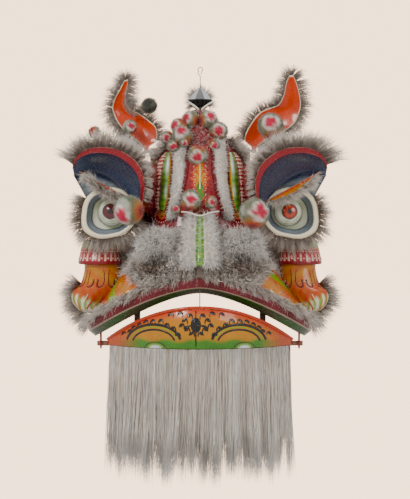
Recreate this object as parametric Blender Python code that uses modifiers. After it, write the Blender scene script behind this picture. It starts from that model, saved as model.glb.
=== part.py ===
"""Lion-dance head of papier-mache and fur, hung by the wire at its horn.

Metres, +Z up, the face towards -Y. The origin is the point on the wall hook that the wire loop hangs from.
Tables are in millimetres. The right side (+X) is drawn, and the left side repeats it with the sign of X turned.
"""
import math

import bmesh
import bpy
from mathutils import Matrix, Vector

MM = 0.001
GAP = 0.35  # clearance between two pieces that touch, mm
SIDES = (("left", -1), ("right", 1))

# Driving dimensions, mm
WALL = 3.0  # papier-mache wall
DOME_POWER = 0.8  # below 1 the dome's plan is fuller than an ellipse
DOME_STEPS = 14
RIM_Y = -10.0  # back rim of the dome's upper part
CORE_BACK = -1.0
CORE_GAP = 0.45
WELD_ROOM = 0.04
FLAT_ANGLE = math.radians(0.3)
MOUTH_DEPTH = 200.0
MOUTH_BACK = -180.0
EYE = {"x": 210.6, "y": -262.0, "z": -370.0, "radius": 33.0}
LID = {"inner": (152.0, -349.5), "outer": (283.0, -277.0), "y": -294.0}
LID_SHEET = {"reach": 50.0, "corner": 6.0, "half_thick": 1.2, "bulge": 4.0, "droop": 20.0, "inset": 16.0, "steps": 10}
LID_PIN = {"radius": 2.0, "hole": 2.6, "boss": 7.6, "boss_out": 3.0, "pin_out": 5.0, "hole_out": 6.5}
EAR_PIVOT = {"x": 131.0, "y": -115.0, "z": -216.0, "radius": 3.0, "hole": 3.6, "inward": 24.0, "outward": 8.0}
EAR_BOSS = {"size": (36.0, 18.0, 36.0), "inward": 25.0, "drop": 11.0}
EAR_THICK = 3.0
JAW = {"y": -262.0, "z": -684.0, "reach": 158.0, "rise": 84.0, "half": 226.0, "end": 0.97, "wall": 3.0, "steps": 16}
JAW_BOW = 2.1  # power of the jaw's bow: higher is squarer
JAW_SET = 11.0  # how far the pan's edge stands in front of the rod
RIM_BAR = {"radius": 4.0, "lift": 4.4}
ROD = {"radius": 6.0, "half": 246.0, "eye": 6.7}
HANGER = {"x": 150.0, "thick": 14.0, "room": 9.0, "eye": 13.0}
STRAP = {"x": 237.0, "thick": 4.0}
CORD = {"radius": 1.3, "below_lip": 20.0, "above_rim": 6.0}
HOOP_RADIUS = 3.6
HANG_WIRE_RADIUS = 1.1
STEM_RADIUS = 2.2
TUFT = 0.04  # how unevenly a pompom is clipped, as a share of its radius
TURN_STEP = 2.4  # radians between one tuft and the next, so that they follow no row

# Dome sections: height, half width, front, back
DOME = [
    {"z": -112, "half": 24, "front": -98, "back": -10},
    {"z": -130, "half": 42, "front": -122, "back": -10},
    {"z": -190, "half": 76, "front": -180, "back": -10},
    {"z": -215, "half": 100, "front": -206, "back": -10},
    {"z": -240, "half": 124, "front": -230, "back": -10},
    {"z": -280, "half": 140, "front": -262, "back": -10},
    {"z": -330, "half": 150, "front": -290, "back": -10},
    {"z": -400, "half": 158, "front": -312, "back": -30},
    {"z": -460, "half": 165, "front": -324, "back": -70},
    {"z": -530, "half": 172, "front": -332, "back": -130},
]

BROW_WALL = 2.6
TEMPLE_ROOM = 1.8  # wider than elsewhere, so that no splinter of the brow is left in the corner
BROW_ROOT = {"x": 88.0, "return": 14.0, "arch": 4.0, "hollow": 0.12}
# Brow stations from the nose side round to the temple: lip edge with its width and depth, deep inner edge, and root
BROW_COLUMNS = ("x", "z", "lip", "y", "in_x", "in_z", "in_y", "root_y", "root_z")
BROW_ROWS = [
    (137, -372, 9, -326, 153, -376, -298, -190, -385),
    (134, -338, 14, -334, 156, -352, -296, -190, -358),
    (130, -304, 20, -341, 164, -337, -292, -190, -328),
    (141, -266, 22, -347, 178, -321, -289, -190, -303),
    (168, -239, 22, -351, 196, -303, -285, -188, -284),
    (200, -224, 21, -352, 219, -287, -283, -178, -270),
    (240, -220, 20, -349, 243, -277, -284, -162, -260),
    (271, -227, 18, -341, 271, -273, -288, -145, -253),
    (292, -242, 13, -330, 290, -279, -294, -128, -248),
    (301, -260, 8, -318, 298, -287, -298, -111, -246),
]
BROW = [dict(zip(BROW_COLUMNS, row)) for row in BROW_ROWS]

# Rim of the eye cup: angle in degrees from +X, distance from the eye's centre
CUP_RIM = [(0, 70), (30, 68), (60, 62), (90, 58), (125, 58), (160, 60), (200, 61), (240, 60), (270, 61), (300, 72),
           (325, 79), (345, 74)]
# Cup profile from its root to the eye's round seat: share of the rim or a radius, depth, and lean towards the dome
CUP_PROFILE = [
    {"share": 0.50, "y": -150, "lean": 66},
    {"share": 0.82, "y": -215, "lean": 22},
    {"share": 1.0, "y": -256},
    {"share": 1.0, "y": -270},
    {"share": 0.86, "y": -273},
    {"share": 0.78, "y": -264},
    {"share": 0.60, "y": -250},
    {"round": 29, "y": -242.6},
    {"round": 14, "y": -227.8},
]

# Muzzle rows from the top to the lip line: half width, front, end depth, height at the middle and at the ends
MUZZLE = [
    {"half": 128, "front": -345, "end": -215, "mid_z": -398, "end_z": -430},
    {"half": 190, "front": -392, "end": -225, "mid_z": -450, "end_z": -522},
    {"half": 238, "front": -408, "end": -234, "mid_z": -500, "end_z": -592},
    {"half": 262, "front": -412, "end": -238, "mid_z": -526, "end_z": -632},
]
MUZZLE_DROOP = 1.6  # power of the lip line's fall towards the mouth corners
MUZZLE_STEPS = 18
MUZZLE_ROUND = 0.9  # power of the muzzle's round front
# Lip section round its edge: how far out of the muzzle and how far below its last row
LIP_FRONT = [(6, -0.9), (8, -12), (5, -23)]
LIP_SHELF = [{"width": 20, "out": -4, "drop": -36}, {"width": 24, "out": -5, "drop": -33}]
LIP_BACK = [(-4.5, -9), (-5, -3.4)]
LIP_FUR = {"from": 10.0, "turn": 76.0, "steps": 14, "off": 0.8, "off_lip": 9.4, "tip": 18.0, "top": 15.0,
           "hang": (5.0, 13.0)}

# Cheek rings from the top down: height, centre, half sizes
CHEEK = [
    {"z": -436, "x": 240, "rx": 42, "y": -212, "ry": 36},
    {"z": -468, "x": 241, "rx": 49, "y": -217, "ry": 43},
    {"z": -494, "x": 241, "rx": 52, "y": -219, "ry": 47},
    {"z": -499, "x": 236, "rx": 43, "y": -218, "ry": 37},
    {"z": -541, "x": 238, "rx": 50, "y": -218, "ry": 40},
    {"z": -562, "x": 249, "rx": 59, "y": -218, "ry": 38},
    {"z": -586, "x": 262, "rx": 46, "y": -216, "ry": 28},
    {"z": -604, "x": 269, "rx": 25, "y": -214, "ry": 15},
    {"z": -613, "x": 271, "rx": 8, "y": -213, "ry": 6},
]

# Horn sections: height and half sizes
HORN = [
    {"z": -111.4, "rx": 11, "ry": 9},
    {"z": -100, "rx": 24, "ry": 17},
    {"z": -88, "rx": 32, "ry": 23},
    {"z": -74, "rx": 22, "ry": 16},
    {"z": -62, "rx": 9, "ry": 7},
    {"z": -56, "rx": 4, "ry": 4},
]
HORN_PLACE = {"y": -72.0, "lean": 0.12, "sides": 8, "twist": 0.39}
HORN_FUR = {"y": -60.0, "z": -90.0, "root": 16.0, "from": 205.0, "turn": -230.0, "steps": 16, "back": 0.15}

# Nose sections: height, half width, depth of its base, relief
NOSE = [
    {"z": -376, "half": 24, "y": -340, "rise": 6},
    {"z": -392, "half": 34, "y": -352, "rise": 12},
    {"z": -420, "half": 38, "y": -378, "rise": 18},
    {"z": -450, "half": 40, "y": -398, "rise": 20},
    {"z": -480, "half": 40, "y": -414, "rise": 18},
    {"z": -500, "half": 34, "y": -424, "rise": 10},
]
NOSE_TOP = [(-1, 0.1), (-0.8, 0.9), (-0.55, 1.0), (-0.3, 0.45), (-0.15, 0.7), (0, 0.8), (0.15, 0.7), (0.3, 0.45),
            (0.55, 1.0), (0.8, 0.9), (1, 0.1)]
NOSE_LIFT = 4.0
NOSE_DEPTH = 26.0
NOSTRIL = {"x": 98.0, "y": -366.0, "z": -452.0, "size": (48.0, 34.0, 40.0), "tuft": 0.07}

# Fur behind the cheek's fin: root in front view and the way each lock points, in degrees from +X
CHEEK_FUR = [
    {"x": 292, "z": -542, "turn": 35},
    {"x": 300, "z": -556, "turn": 20},
    {"x": 301, "z": -570, "turn": 8},
    {"x": 299, "z": -584, "turn": -4},
    {"x": 292, "z": -598, "turn": -18},
    {"x": 280, "z": -612, "turn": -34},
    {"x": 274, "z": -620, "turn": -48},
    {"x": 266, "z": -628, "turn": -62},
]
CHEEK_FUR_Y = -216.0
CHEEK_SIDES = 14

# Fringes of fur: length of a long lock, thickness at the root, a short lock's share, and how far the root stands off
FUR = {
    "horn": {"length": 42.0, "thick": 6.0, "short": 0.72, "off": 0.0},
    "lid": {"length": 17.0, "thick": 2.4, "short": 0.6, "off": 0.5},
    "eye": {"length": 34.0, "thick": 5.0, "short": 0.6, "off": 0.5},
    "brow": {"length": 40.0, "thick": 5.0, "short": 0.6, "off": 1.2},
    "cheek": {"length": 50.0, "thick": 6.0, "short": 0.62, "off": 0.0},
    "ear": {"length": 34.0, "thick": 2.6, "short": 0.6, "off": 0.6},
}
LID_FUR = {"span": 0.94, "steps": 18, "down": 0.45, "fan": 0.35, "corner": 6.0}
EYE_FUR = {"from": 202.0, "turn": 182.0, "steps": 20, "y": -265.5, "forward": -0.32}
BROW_FUR = {"from": 1.0, "stations": 8.0, "steps": 22, "behind": 5.0, "x": 222.0, "z": -305.0, "forward": -0.12}

# Beard sections down the lock: depth before the root, and height below it
BEARD = {"length": 320.0, "locks": 12, "thick": 9.0, "span": 0.9, "short": 0.82, "flare": 1.03, "taper": 0.06}
BEARD_RIDGE = (-1.5, 2.0)

# Side outlines of what carries the jaw's rod, above its round lower end: depth from the rod, height
HANGER_ARM = [(11, -610), (0, -565), (-60, -530), (-150, -528), (-150, -552), (-76, -560), (-24, -596), (-13, -620)]
STRAP_TAB = [(12, -660), (8, -628), (-80, -596), (-80, -612), (-14, -646), (-13, -660)]

# Forehead strips on the dome: height, inner and outer x, relief
RIDGE = [
    {"z": -205, "a": -29, "b": 29, "rise": 9},
    {"z": -215, "a": -30, "b": 30, "rise": 15},
    {"z": -240, "a": -30, "b": 30, "rise": 18},
    {"z": -280, "a": -32, "b": 32, "rise": 19},
    {"z": -330, "a": -42, "b": 42, "rise": 18},
    {"z": -364, "a": -52, "b": 52, "rise": 13},
    {"z": -384, "a": -52, "b": 52, "rise": 6},
]
FOREHEAD_FUR = [
    {"z": -192, "a": 34, "b": 52, "rise": 6},
    {"z": -215, "a": 35, "b": 60, "rise": 12},
    {"z": -240, "a": 36, "b": 64, "rise": 14},
    {"z": -280, "a": 38, "b": 66, "rise": 14},
    {"z": -330, "a": 47, "b": 70, "rise": 13},
    {"z": -368, "a": 57, "b": 76, "rise": 9},
    {"z": -384, "a": 58, "b": 76, "rise": 4},
]
TEMPLE = [
    {"z": -222, "a": 70, "b": 80, "c": 88, "rise": 5},
    {"z": -240, "a": 68, "b": 90, "c": 102, "rise": 17},
    {"z": -280, "a": 69, "b": 94, "c": 112, "rise": 21},
    {"z": -330, "a": 73, "b": 96, "c": 114, "rise": 19},
    {"z": -352, "a": 78, "b": 98, "c": 113, "rise": 13},
    {"z": -366, "a": 82, "b": 96, "c": 106, "rise": 4},
]

STRIP_ROOT = 36.0  # how far a strip's back reaches into the dome before it is trimmed
STRIP_LIFT = 0.8
# Strip sections: share of the width, share of the relief
ARCH = [(0.0, 0.15), (0.14, 0.66), (0.32, 0.94), (0.5, 1.0), (0.68, 0.94), (0.86, 0.66), (1.0, 0.15)]
PAIR = [(0.0, 0.15), (0.14, 0.8), (0.3, 1.0), (0.48, 0.8), (0.58, 0.36), (0.66, 0.62), (0.8, 0.7), (0.92, 0.5),
        (1.0, 0.12)]

# Ear sections from the base to the tip: inner and outer edge, each with its height, depth, and hollow of the middle
EARS = {
    "right": [
        {"a": 127, "z_a": -222, "b": 138, "z_b": -222, "y": 0, "cup": 0},
        {"a": 125.5, "z_a": -206, "b": 141, "z_b": -206, "y": 0, "cup": 0},
        {"a": 110, "z_a": -190, "b": 153, "z_b": -196, "y": 1, "cup": 4},
        {"a": 115, "z_a": -168, "b": 176, "z_b": -182, "y": 2, "cup": 8},
        {"a": 130, "z_a": -142, "b": 206, "z_b": -168, "y": 4, "cup": 10},
        {"a": 148, "z_a": -121, "b": 231, "z_b": -150, "y": 5, "cup": 10},
        {"a": 172, "z_a": -110, "b": 244, "z_b": -126, "y": 6, "cup": 9},
        {"a": 193, "z_a": -102, "b": 249, "z_b": -104, "y": 3, "cup": 7},
        {"a": 206, "z_a": -78, "b": 246, "z_b": -78, "y": -4, "cup": 5},
        {"a": 212, "z_a": -50, "b": 238, "z_b": -50, "y": -12, "cup": 3},
        {"a": 220, "z_a": -31, "b": 229, "z_b": -31, "y": -18, "cup": 1},
    ],
    "left": [
        {"a": 127, "z_a": -222, "b": 138, "z_b": -222, "y": 0, "cup": 0},
        {"a": 125.5, "z_a": -206, "b": 141, "z_b": -206, "y": 0, "cup": 0},
        {"a": 108, "z_a": -190, "b": 153, "z_b": -194, "y": 1, "cup": 4},
        {"a": 108, "z_a": -160, "b": 172, "z_b": -180, "y": 2, "cup": 8},
        {"a": 127, "z_a": -141, "b": 188, "z_b": -165, "y": 4, "cup": 10},
        {"a": 150, "z_a": -124, "b": 202, "z_b": -149, "y": 5, "cup": 10},
        {"a": 171, "z_a": -114, "b": 211, "z_b": -131, "y": 6, "cup": 9},
        {"a": 182, "z_a": -101, "b": 217, "z_b": -111, "y": 3, "cup": 7},
        {"a": 184, "z_a": -80, "b": 211, "z_b": -88, "y": -4, "cup": 5},
        {"a": 179, "z_a": -55, "b": 196, "z_b": -62, "y": -12, "cup": 3},
        {"a": 177, "z_a": -41, "b": 186, "z_b": -43, "y": -18, "cup": 1},
    ],
}
SMALL_BALL = 18  # radius up to which a ball is drawn with fewer faces

# Pompoms on the dome: centre, radius, and the point inside the head that the stem runs towards
POMPOMS = [
    {"name": "pompom_brow_left", "at": (-165, -398, -369), "r": 38, "to": (-139.5, -326.2, -366)},
    {"name": "pompom_brow_right", "at": (126, -408, -376), "r": 38, "to": (139.5, -326.2, -366)},
    {"name": "pompom_brow_top", "at": (-250, -300, -182), "r": 18, "to": (-249, -317.5, -231.2)},
    {"name": "pompom_ridge_top", "at": (-6, -252, -234), "r": 27, "to": (-4, -150, -240)},
    {"name": "pompom_ridge_low", "at": (-22, -362, -344), "r": 27, "to": (-18, -250, -345)},
    {"name": "pompom_ridge_side", "at": (26, -352, -349), "r": 17, "to": (24, -250, -350)},
    {"name": "pompom_ridge_end", "at": (-56, -344, -366), "r": 15, "to": (-50, -250, -366)},
]
CLUSTERS = {
    "pompom_cluster_left": [
        {"at": (-24, -139, -140), "r": 24},
        {"at": (-52, -152, -158), "r": 24},
        {"at": (-80, -160, -186), "r": 20},
        {"at": (-44, -190, -184), "r": 28},
        {"at": (-66, -210, -209), "r": 17},
        {"at": (-38, -222, -203), "r": 13},
    ],
    "pompom_cluster_right": [
        {"at": (20, -140, -142), "r": 26},
        {"at": (46, -158, -170), "r": 26},
        {"at": (34, -206, -206), "r": 17, "link": (46, -158, -170)},
    ],
}
CLUSTER_STEM_TO = (0, -60, -190)
EAR_POMPOMS = [
    {"name": "ear_pompom_left", "at": (-172, -150, -160), "r": 21, "to": (-170, -105.2, -158)},
    {"name": "ear_pompom_dark", "at": (-125, -134, -106), "r": 23, "to": (-139, -109.2, -147)},
    {"name": "ear_pompom_right", "at": (172, -164, -158), "r": 35, "to": (172, -102.7, -158)},
]

COLOURS = {
    "paper_red": (0.55, 0.03, 0.03), "paper_orange": (0.85, 0.22, 0.03), "paper_green": (0.14, 0.38, 0.05),
    "paper_blue": (0.03, 0.05, 0.12), "paper_grey": (0.25, 0.28, 0.32), "fur_grey": (0.42, 0.37, 0.34),
    "fur_white": (0.75, 0.7, 0.64), "wool": (0.5, 0.35, 0.28), "bamboo": (0.4, 0.2, 0.1),
    "mirror": (0.55, 0.56, 0.58), "wire": (0.2, 0.2, 0.2), "eye_glass": (0.6, 0.55, 0.4),
    "dark_wood": (0.08, 0.06, 0.04), "yellow_silk": (0.85, 0.5, 0.05),
}
FINISH = {"mirror": (0.15, 1.0), "wire": (0.35, 1.0), "eye_glass": (0.08, 0.0)}  # roughness, metallic
LACQUER_ROUGHNESS = 0.6
SOFT_ROUGHNESS = 0.85
SHARP_EDGE = math.radians(40)


def clear_scene():
    for old in list(bpy.data.objects):
        bpy.data.objects.remove(old, do_unlink=True)


def make_collection(name):
    collection = bpy.data.collections.new(name)
    bpy.context.scene.collection.children.link(collection)
    return collection


def material_of(name):
    material = bpy.data.materials.get(name)
    if material is None:
        material = bpy.data.materials.new(name)
        material.use_nodes = True
        shader = material.node_tree.nodes["Principled BSDF"]
        plain = LACQUER_ROUGHNESS if name.startswith("paper") else SOFT_ROUGHNESS
        roughness, metallic = FINISH.get(name, (plain, 0.0))
        shader.inputs["Base Color"].default_value = (*COLOURS[name], 1)
        shader.inputs["Roughness"].default_value = roughness
        shader.inputs["Metallic"].default_value = metallic
        material.diffuse_color = (*COLOURS[name], 1)
    return material


def add_object(name, mesh, material, collection=None):
    piece = bpy.data.objects.new(name, mesh)
    (collection or PARTS).objects.link(piece)
    mesh.materials.append(material_of(material))
    mesh.shade_smooth()
    mesh.set_sharp_from_angle(angle=SHARP_EDGE)
    return piece


def from_bmesh(name, shape, material, collection=None):
    bmesh.ops.recalc_face_normals(shape, faces=shape.faces)
    closed = all(len(edge.link_faces) == 2 for edge in shape.edges)
    if closed and shape.calc_volume(signed=True) < 0:
        bmesh.ops.reverse_faces(shape, faces=shape.faces)
    mesh = bpy.data.meshes.new(name)
    shape.to_mesh(mesh)
    shape.free()
    return add_object(name, mesh, material, collection)


def skin(shape, rings, closed_ring=True):
    """Quads between neighbouring rings of points given in mm, and the rings of vertices."""
    rows = [[shape.verts.new(Vector(point) * MM) for point in ring] for ring in rings]
    count = len(rows[0])
    for low, high in zip(rows, rows[1:]):
        for i in range(count if closed_ring else count - 1):
            j = (i + 1) % count
            shape.faces.new((low[i], low[j], high[j], high[i]))
    return rows


def skin_wall(shape, rings):
    """As skin, for rings that go out and come back inside. Both sides of the wall fold along the same diagonals."""
    rows = [[shape.verts.new(Vector(point) * MM) for point in ring] for ring in rings]
    half = len(rows[0]) // 2
    for low, high in zip(rows, rows[1:]):
        for i in range(half - 1):
            rising = (low[i].co - high[i + 1].co).length < (low[i + 1].co - high[i].co).length
            for a, b in ((i, i + 1), (-1 - i, -2 - i)):
                last_low, first_high = (low[a], high[b]) if rising else (low[b], high[a])
                shape.faces.new((low[a], low[b], first_high))
                shape.faces.new((last_low, high[b], high[a]))
        for i in (half - 1, -1):
            shape.faces.new((low[i], low[i + 1], high[i + 1], high[i]))
    return rows


def loft(name, rings, material, collection=None, walled=False):
    """A solid skinned over closed rings, with a cap at each end. A walled ring goes out and comes back inside."""
    shape = bmesh.new()
    rows = skin_wall(shape, rings) if walled else skin(shape, rings)
    for row in (rows[0], rows[-1]):
        if walled:
            for i in range(len(row) // 2 - 1):
                shape.faces.new((row[i], row[i + 1], row[-2 - i], row[-1 - i]))
        else:
            shape.faces.new(row)
    return from_bmesh(name, shape, material, collection)


def mouth_core():
    """The room inside the muzzle's wall, carried down past the jaw's rod."""
    rings = [muzzle_ring(row, -WALL - 2 * GAP) for row in MUZZLE]
    rings.append([(x, y, z - MOUTH_DEPTH) for x, y, z in rings[-1]])
    rings = [[*ring, (ring[-1][0], MOUTH_BACK, ring[-1][2]), (ring[0][0], MOUTH_BACK, ring[0][2])]
             for ring in rings]
    return as_helper(loft("mouth_core", rings, "paper_red", CUTTERS))


def shell_of(name, rings, wall, material):
    """A wall of even thickness behind an open surface that faces forward."""
    shape = bmesh.new()
    skin(shape, rings, closed_ring=False)
    piece = from_bmesh(name, shape, material)
    front = min(piece.data.polygons, key=lambda face: face.center.y)
    thicken = piece.modifiers.new("wall", "SOLIDIFY")
    thicken.thickness = wall * MM
    thicken.offset = -1 if front.normal.y < 0 else 1
    return piece


def wire(name, points, radius, material, resolution=2, cyclic=False):
    """A round bar along points, in mm, as a mesh so that it can be cut."""
    curve = bpy.data.curves.new(name, "CURVE")
    curve.dimensions = "3D"
    curve.bevel_depth = radius * MM
    curve.bevel_resolution = resolution
    curve.use_fill_caps = True
    spline = curve.splines.new("POLY")
    spline.points.add(len(points) - 1)
    for target, point in zip(spline.points, points):
        target.co = (*(Vector(point) * MM), 1)
    spline.use_cyclic_u = cyclic
    source = bpy.data.objects.new(name + "_curve", curve)
    PARTS.objects.link(source)
    graph = bpy.context.evaluated_depsgraph_get()
    mesh = bpy.data.meshes.new_from_object(source.evaluated_get(graph))
    bpy.data.objects.remove(source)
    shape = bmesh.new()
    shape.from_mesh(mesh)
    bmesh.ops.remove_doubles(shape, verts=shape.verts, dist=0.00001)
    shape.to_mesh(mesh)
    shape.free()
    mesh.materials.clear()
    return add_object(name, mesh, material)


def ball(name, centre, radius, material, collection=None, detail=None, shag=0.0):
    """A round ball. With shag its points stand in and out in turn, as clipped tufts do."""
    detail = detail or (2 if radius > SMALL_BALL else 1)
    shape = bmesh.new()
    bmesh.ops.create_icosphere(shape, subdivisions=detail, radius=radius * MM)
    for index, vert in enumerate(shape.verts):
        vert.co *= 1 + shag * math.cos(index * TURN_STEP)
    bmesh.ops.translate(shape, verts=shape.verts, vec=Vector(centre) * MM)
    return from_bmesh(name, shape, material, collection)


def rod_cutter(name, start, end, radius, sides=10):
    """A round cutter from start to end."""
    a, b = Vector(start) * MM, Vector(end) * MM
    shape = bmesh.new()
    turn = (b - a).to_track_quat("Z", "Y").to_matrix().to_4x4()
    bmesh.ops.create_cone(shape, cap_ends=True, segments=sides, radius1=radius * MM, radius2=radius * MM,
                          depth=(b - a).length, matrix=Matrix.Translation((a + b) / 2) @ turn)
    return as_helper(from_bmesh(name, shape, "dark_wood", CUTTERS))


def as_helper(piece):
    piece.hide_render = True
    piece.display_type = "WIRE"
    return piece


def boolean(piece, other, operation="DIFFERENCE"):
    """The exact solver loses the brow's thin wall, so cuts of and by the brow use the manifold one."""
    modifier = piece.modifiers.new(other.name, "BOOLEAN")
    modifier.operation = operation
    modifier.solver = "MANIFOLD" if any(name.startswith("brow_") for name in (piece.name, other.name)) else "EXACT"
    modifier.object = other


def grown(piece, room=GAP):
    """A cutter that is the piece with the clearance added all round."""
    name = piece.name + "_room"
    found = bpy.data.objects.get(name)
    if found is None:
        found = piece.copy()
        found.name = name
        CUTTERS.objects.link(found)
        for modifier in list(found.modifiers):
            if modifier.type == "BOOLEAN" and modifier.operation == "DIFFERENCE":
                found.modifiers.remove(modifier)
        swell = found.modifiers.new("room", "DISPLACE")
        swell.mid_level = 0
        swell.strength = room * MM
        as_helper(found)
    return found


def fit(piece, *neighbours, room=GAP):
    """Cuts the piece back so that it clears each neighbour."""
    for neighbour in neighbours:
        boolean(piece, grown(neighbour, room))


def clean_cuts(piece):
    """Merges the hair-thin triangles that a cut leaves at its edge into the flat faces beside them."""
    weld = piece.modifiers.new("weld", "WELD")
    weld.merge_threshold = WELD_ROOM * MM
    flatten = piece.modifiers.new("flatten", "DECIMATE")
    flatten.decimate_type = "DISSOLVE"
    flatten.angle_limit = FLAT_ANGLE
    flatten.use_dissolve_boundaries = False


def fringe(name, kind, roots, outs, lengths=None, up=(0, 1, 0), material="fur_grey"):
    """Locks of fur side by side: a thin wedge whose tip stands out and falls back from one station to the next."""
    fur = FUR[kind]
    up = Vector(up).normalized() * fur["thick"] / 2
    rings = []
    for index, (root, out) in enumerate(zip(roots, outs)):
        root, out = Vector(root), Vector(out).normalized()
        reach = (lengths[index] if lengths else fur["length"]) * (1 if index % 2 else fur["short"])
        rings.append([root + up, root - up, root + out * reach])
    return loft(name, rings, material)


def mixed(rows, key, value, along="z"):
    """Linear value of a table's column where another column has the given value."""
    for low, high in zip(rows, rows[1:]):
        if (low[along] - value) * (high[along] - value) <= 0:
            share = (value - low[along]) / (high[along] - low[along])
            return low[key] + (high[key] - low[key]) * share
    return rows[0][key] if abs(value - rows[0][along]) < abs(value - rows[-1][along]) else rows[-1][key]


def dome_ring(row, offset=0.0):
    """Points of a dome section from the right rim, round the front, to the left rim."""
    ring = []
    for step in range(DOME_STEPS + 1):
        angle = math.pi * step / DOME_STEPS
        c, s = math.cos(angle), math.sin(angle)
        x = (row["half"] + offset) * math.copysign(abs(c) ** DOME_POWER, c)
        y = row["back"] + (row["front"] - offset - row["back"]) * abs(s) ** DOME_POWER
        ring.append((x, y, row["z"]))
    return ring


def dome_front(x, z):
    """Depth of the dome's outer surface, seen from the front, at x and z."""
    half, front, back = (mixed(DOME, key, z) for key in ("half", "front", "back"))
    share = min(1.0, abs(x) / half)
    return back + (front - back) * (1 - share ** (2 / DOME_POWER)) ** (DOME_POWER / 2)


def dome_core():
    """The dome filled to its back, grown by the clearance: the cutter for what sits on it."""
    rings = []
    for row in DOME:
        ring = dome_ring(row, CORE_GAP)
        rings.append([*ring, (ring[-1][0], CORE_BACK, row["z"]), (ring[0][0], CORE_BACK, row["z"])])
    rings[0] = [(x, y, z + CORE_GAP) for x, y, z in rings[0]]
    rings[-1] = [(x, y, z - 40) for x, y, z in rings[-1]]
    return as_helper(loft("dome_core", rings, "paper_red", CUTTERS))


def muzzle_point(row, angle, offset=0.0):
    """A point on a muzzle row, the angle running from -90 at the left corner to 90 at the right."""
    turn = math.radians(angle)
    x = (row["half"] + offset) * math.sin(turn)
    y = row["end"] + (row["front"] - offset - row["end"]) * math.cos(turn) ** MUZZLE_ROUND
    z = row["mid_z"] + (row["end_z"] - row["mid_z"]) * abs(math.sin(turn)) ** MUZZLE_DROOP
    return x, y, z


def muzzle_row(place):
    """The muzzle row at a place from 0, the top, to 3, the lip line."""
    low = min(int(place), len(MUZZLE) - 2)
    share = place - low
    return {key: MUZZLE[low][key] * (1 - share) + MUZZLE[low + 1][key] * share for key in MUZZLE[low]}


def muzzle_ring(row, offset=0.0):
    return [muzzle_point(row, -90 + 180 * step / MUZZLE_STEPS, offset) for step in range(MUZZLE_STEPS + 1)]


def muzzle_core():
    """The muzzle filled to its back, grown by the clearance."""
    rings = [muzzle_ring(row, 2 * GAP) for row in MUZZLE]
    high = [(x, y, z + WALL) for x, y, z in rings[0]]
    low = [(x, y, z - WALL) for x, y, z in rings[-1]]
    return as_helper(loft("muzzle_core", [high, *rings, low], "paper_red", CUTTERS))


def build_shell():
    """The hollow dome, closed at the crown, open at the back and below, with a boss for each ear's pivot."""
    shape = bmesh.new()
    rows = skin(shape, [dome_ring(row) for row in DOME], closed_ring=False)
    shape.faces.new(rows[0])
    shell = from_bmesh("head_shell", shape, "paper_red")
    wall = shell.modifiers.new("wall", "SOLIDIFY")
    wall.thickness = WALL * MM
    wall.offset = -1 if outward(shell) else 1
    for side, sign in SIDES:
        x, y, z = (EAR_PIVOT[key] for key in ("x", "y", "z"))
        shape = bmesh.new()
        bmesh.ops.create_cube(shape, size=1)
        bmesh.ops.scale(shape, vec=Vector(EAR_BOSS["size"]) * MM, verts=shape.verts)
        middle = Vector((sign * (x - EAR_BOSS["inward"]), y, z - EAR_BOSS["drop"]))
        bmesh.ops.translate(shape, vec=middle * MM, verts=shape.verts)
        boolean(shell, as_helper(from_bmesh(f"ear_boss_{side}", shape, "paper_red", CUTTERS)), "UNION")
        inward, outer = x - EAR_PIVOT["inward"] - 2, x + 5
        boolean(shell, rod_cutter(f"ear_hole_{side}", (sign * inward, y, z), (sign * outer, y, z), EAR_PIVOT["hole"]))
    return shell


def outward(piece):
    """Whether an open dome's faces point away from its inside."""
    face = max(piece.data.polygons, key=lambda f: -f.center.y)
    return face.normal.y < 0


def build_hoop():
    """Bamboo hoop behind the rim: up one side, over the crown, down the other, and across the neck."""
    radius = HOOP_RADIUS
    right = [(row["half"] - 2, row["back"] + radius * (1.5 if row["back"] < RIM_Y else 1) + GAP, row["z"])
             for row in DOME[1:] if row["z"] not in (-215, -280)]
    top = [(23, RIM_Y + radius + GAP, -115), (0, RIM_Y + radius + GAP, -114)]
    side = list(reversed(right)) + top
    left = [(-x, y, z) for x, y, z in reversed(side[:-1])]
    wire("neck_hoop", side + left, radius, "bamboo", 1, cyclic=True)


def build_horn():
    """Eight-sided horn, black below and silvered above, standing on the crown."""
    rings = []
    for row in HORN:
        y = HORN_PLACE["y"] + (row["z"] - HORN[0]["z"]) * HORN_PLACE["lean"]
        turns = [math.tau * k / HORN_PLACE["sides"] + HORN_PLACE["twist"] for k in range(HORN_PLACE["sides"])]
        rings.append([(row["rx"] * math.cos(turn), y + row["ry"] * math.sin(turn), row["z"]) for turn in turns])
    horn = loft("horn", rings, "mirror")
    steps = HORN_FUR["steps"]
    turns = [math.radians(HORN_FUR["from"] + HORN_FUR["turn"] * k / steps) for k in range(steps + 1)]
    roots = [(HORN_FUR["root"] * math.cos(a), HORN_FUR["y"], HORN_FUR["z"] + HORN_FUR["root"] * math.sin(a))
             for a in turns]
    outs = [(math.cos(a), HORN_FUR["back"], math.sin(a)) for a in turns]
    fit(fringe("horn_fur", "horn", roots, outs), horn)


def build_wire():
    """Wire from the horn's tip to an eye whose inner top is the origin, where the wall hook bears."""
    radius = HANG_WIRE_RADIUS
    turns = [math.radians(-140 + 280 * k / 9) for k in range(10)]
    eye = [(6 * math.sin(a), -2.4 + 1.2 * math.cos(a / 2), radius - 6 + 6 * math.cos(a)) for a in turns]
    path = [(0, -65.2, -55.4), (0, -67, -42), (0, -62, -27), (-3, -38, -21), (-6, -14, -15), *eye, (4, -14, -14),
            (2, -26, -18)]
    wire("hang_wire", path, radius, "wire", 1)


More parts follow.
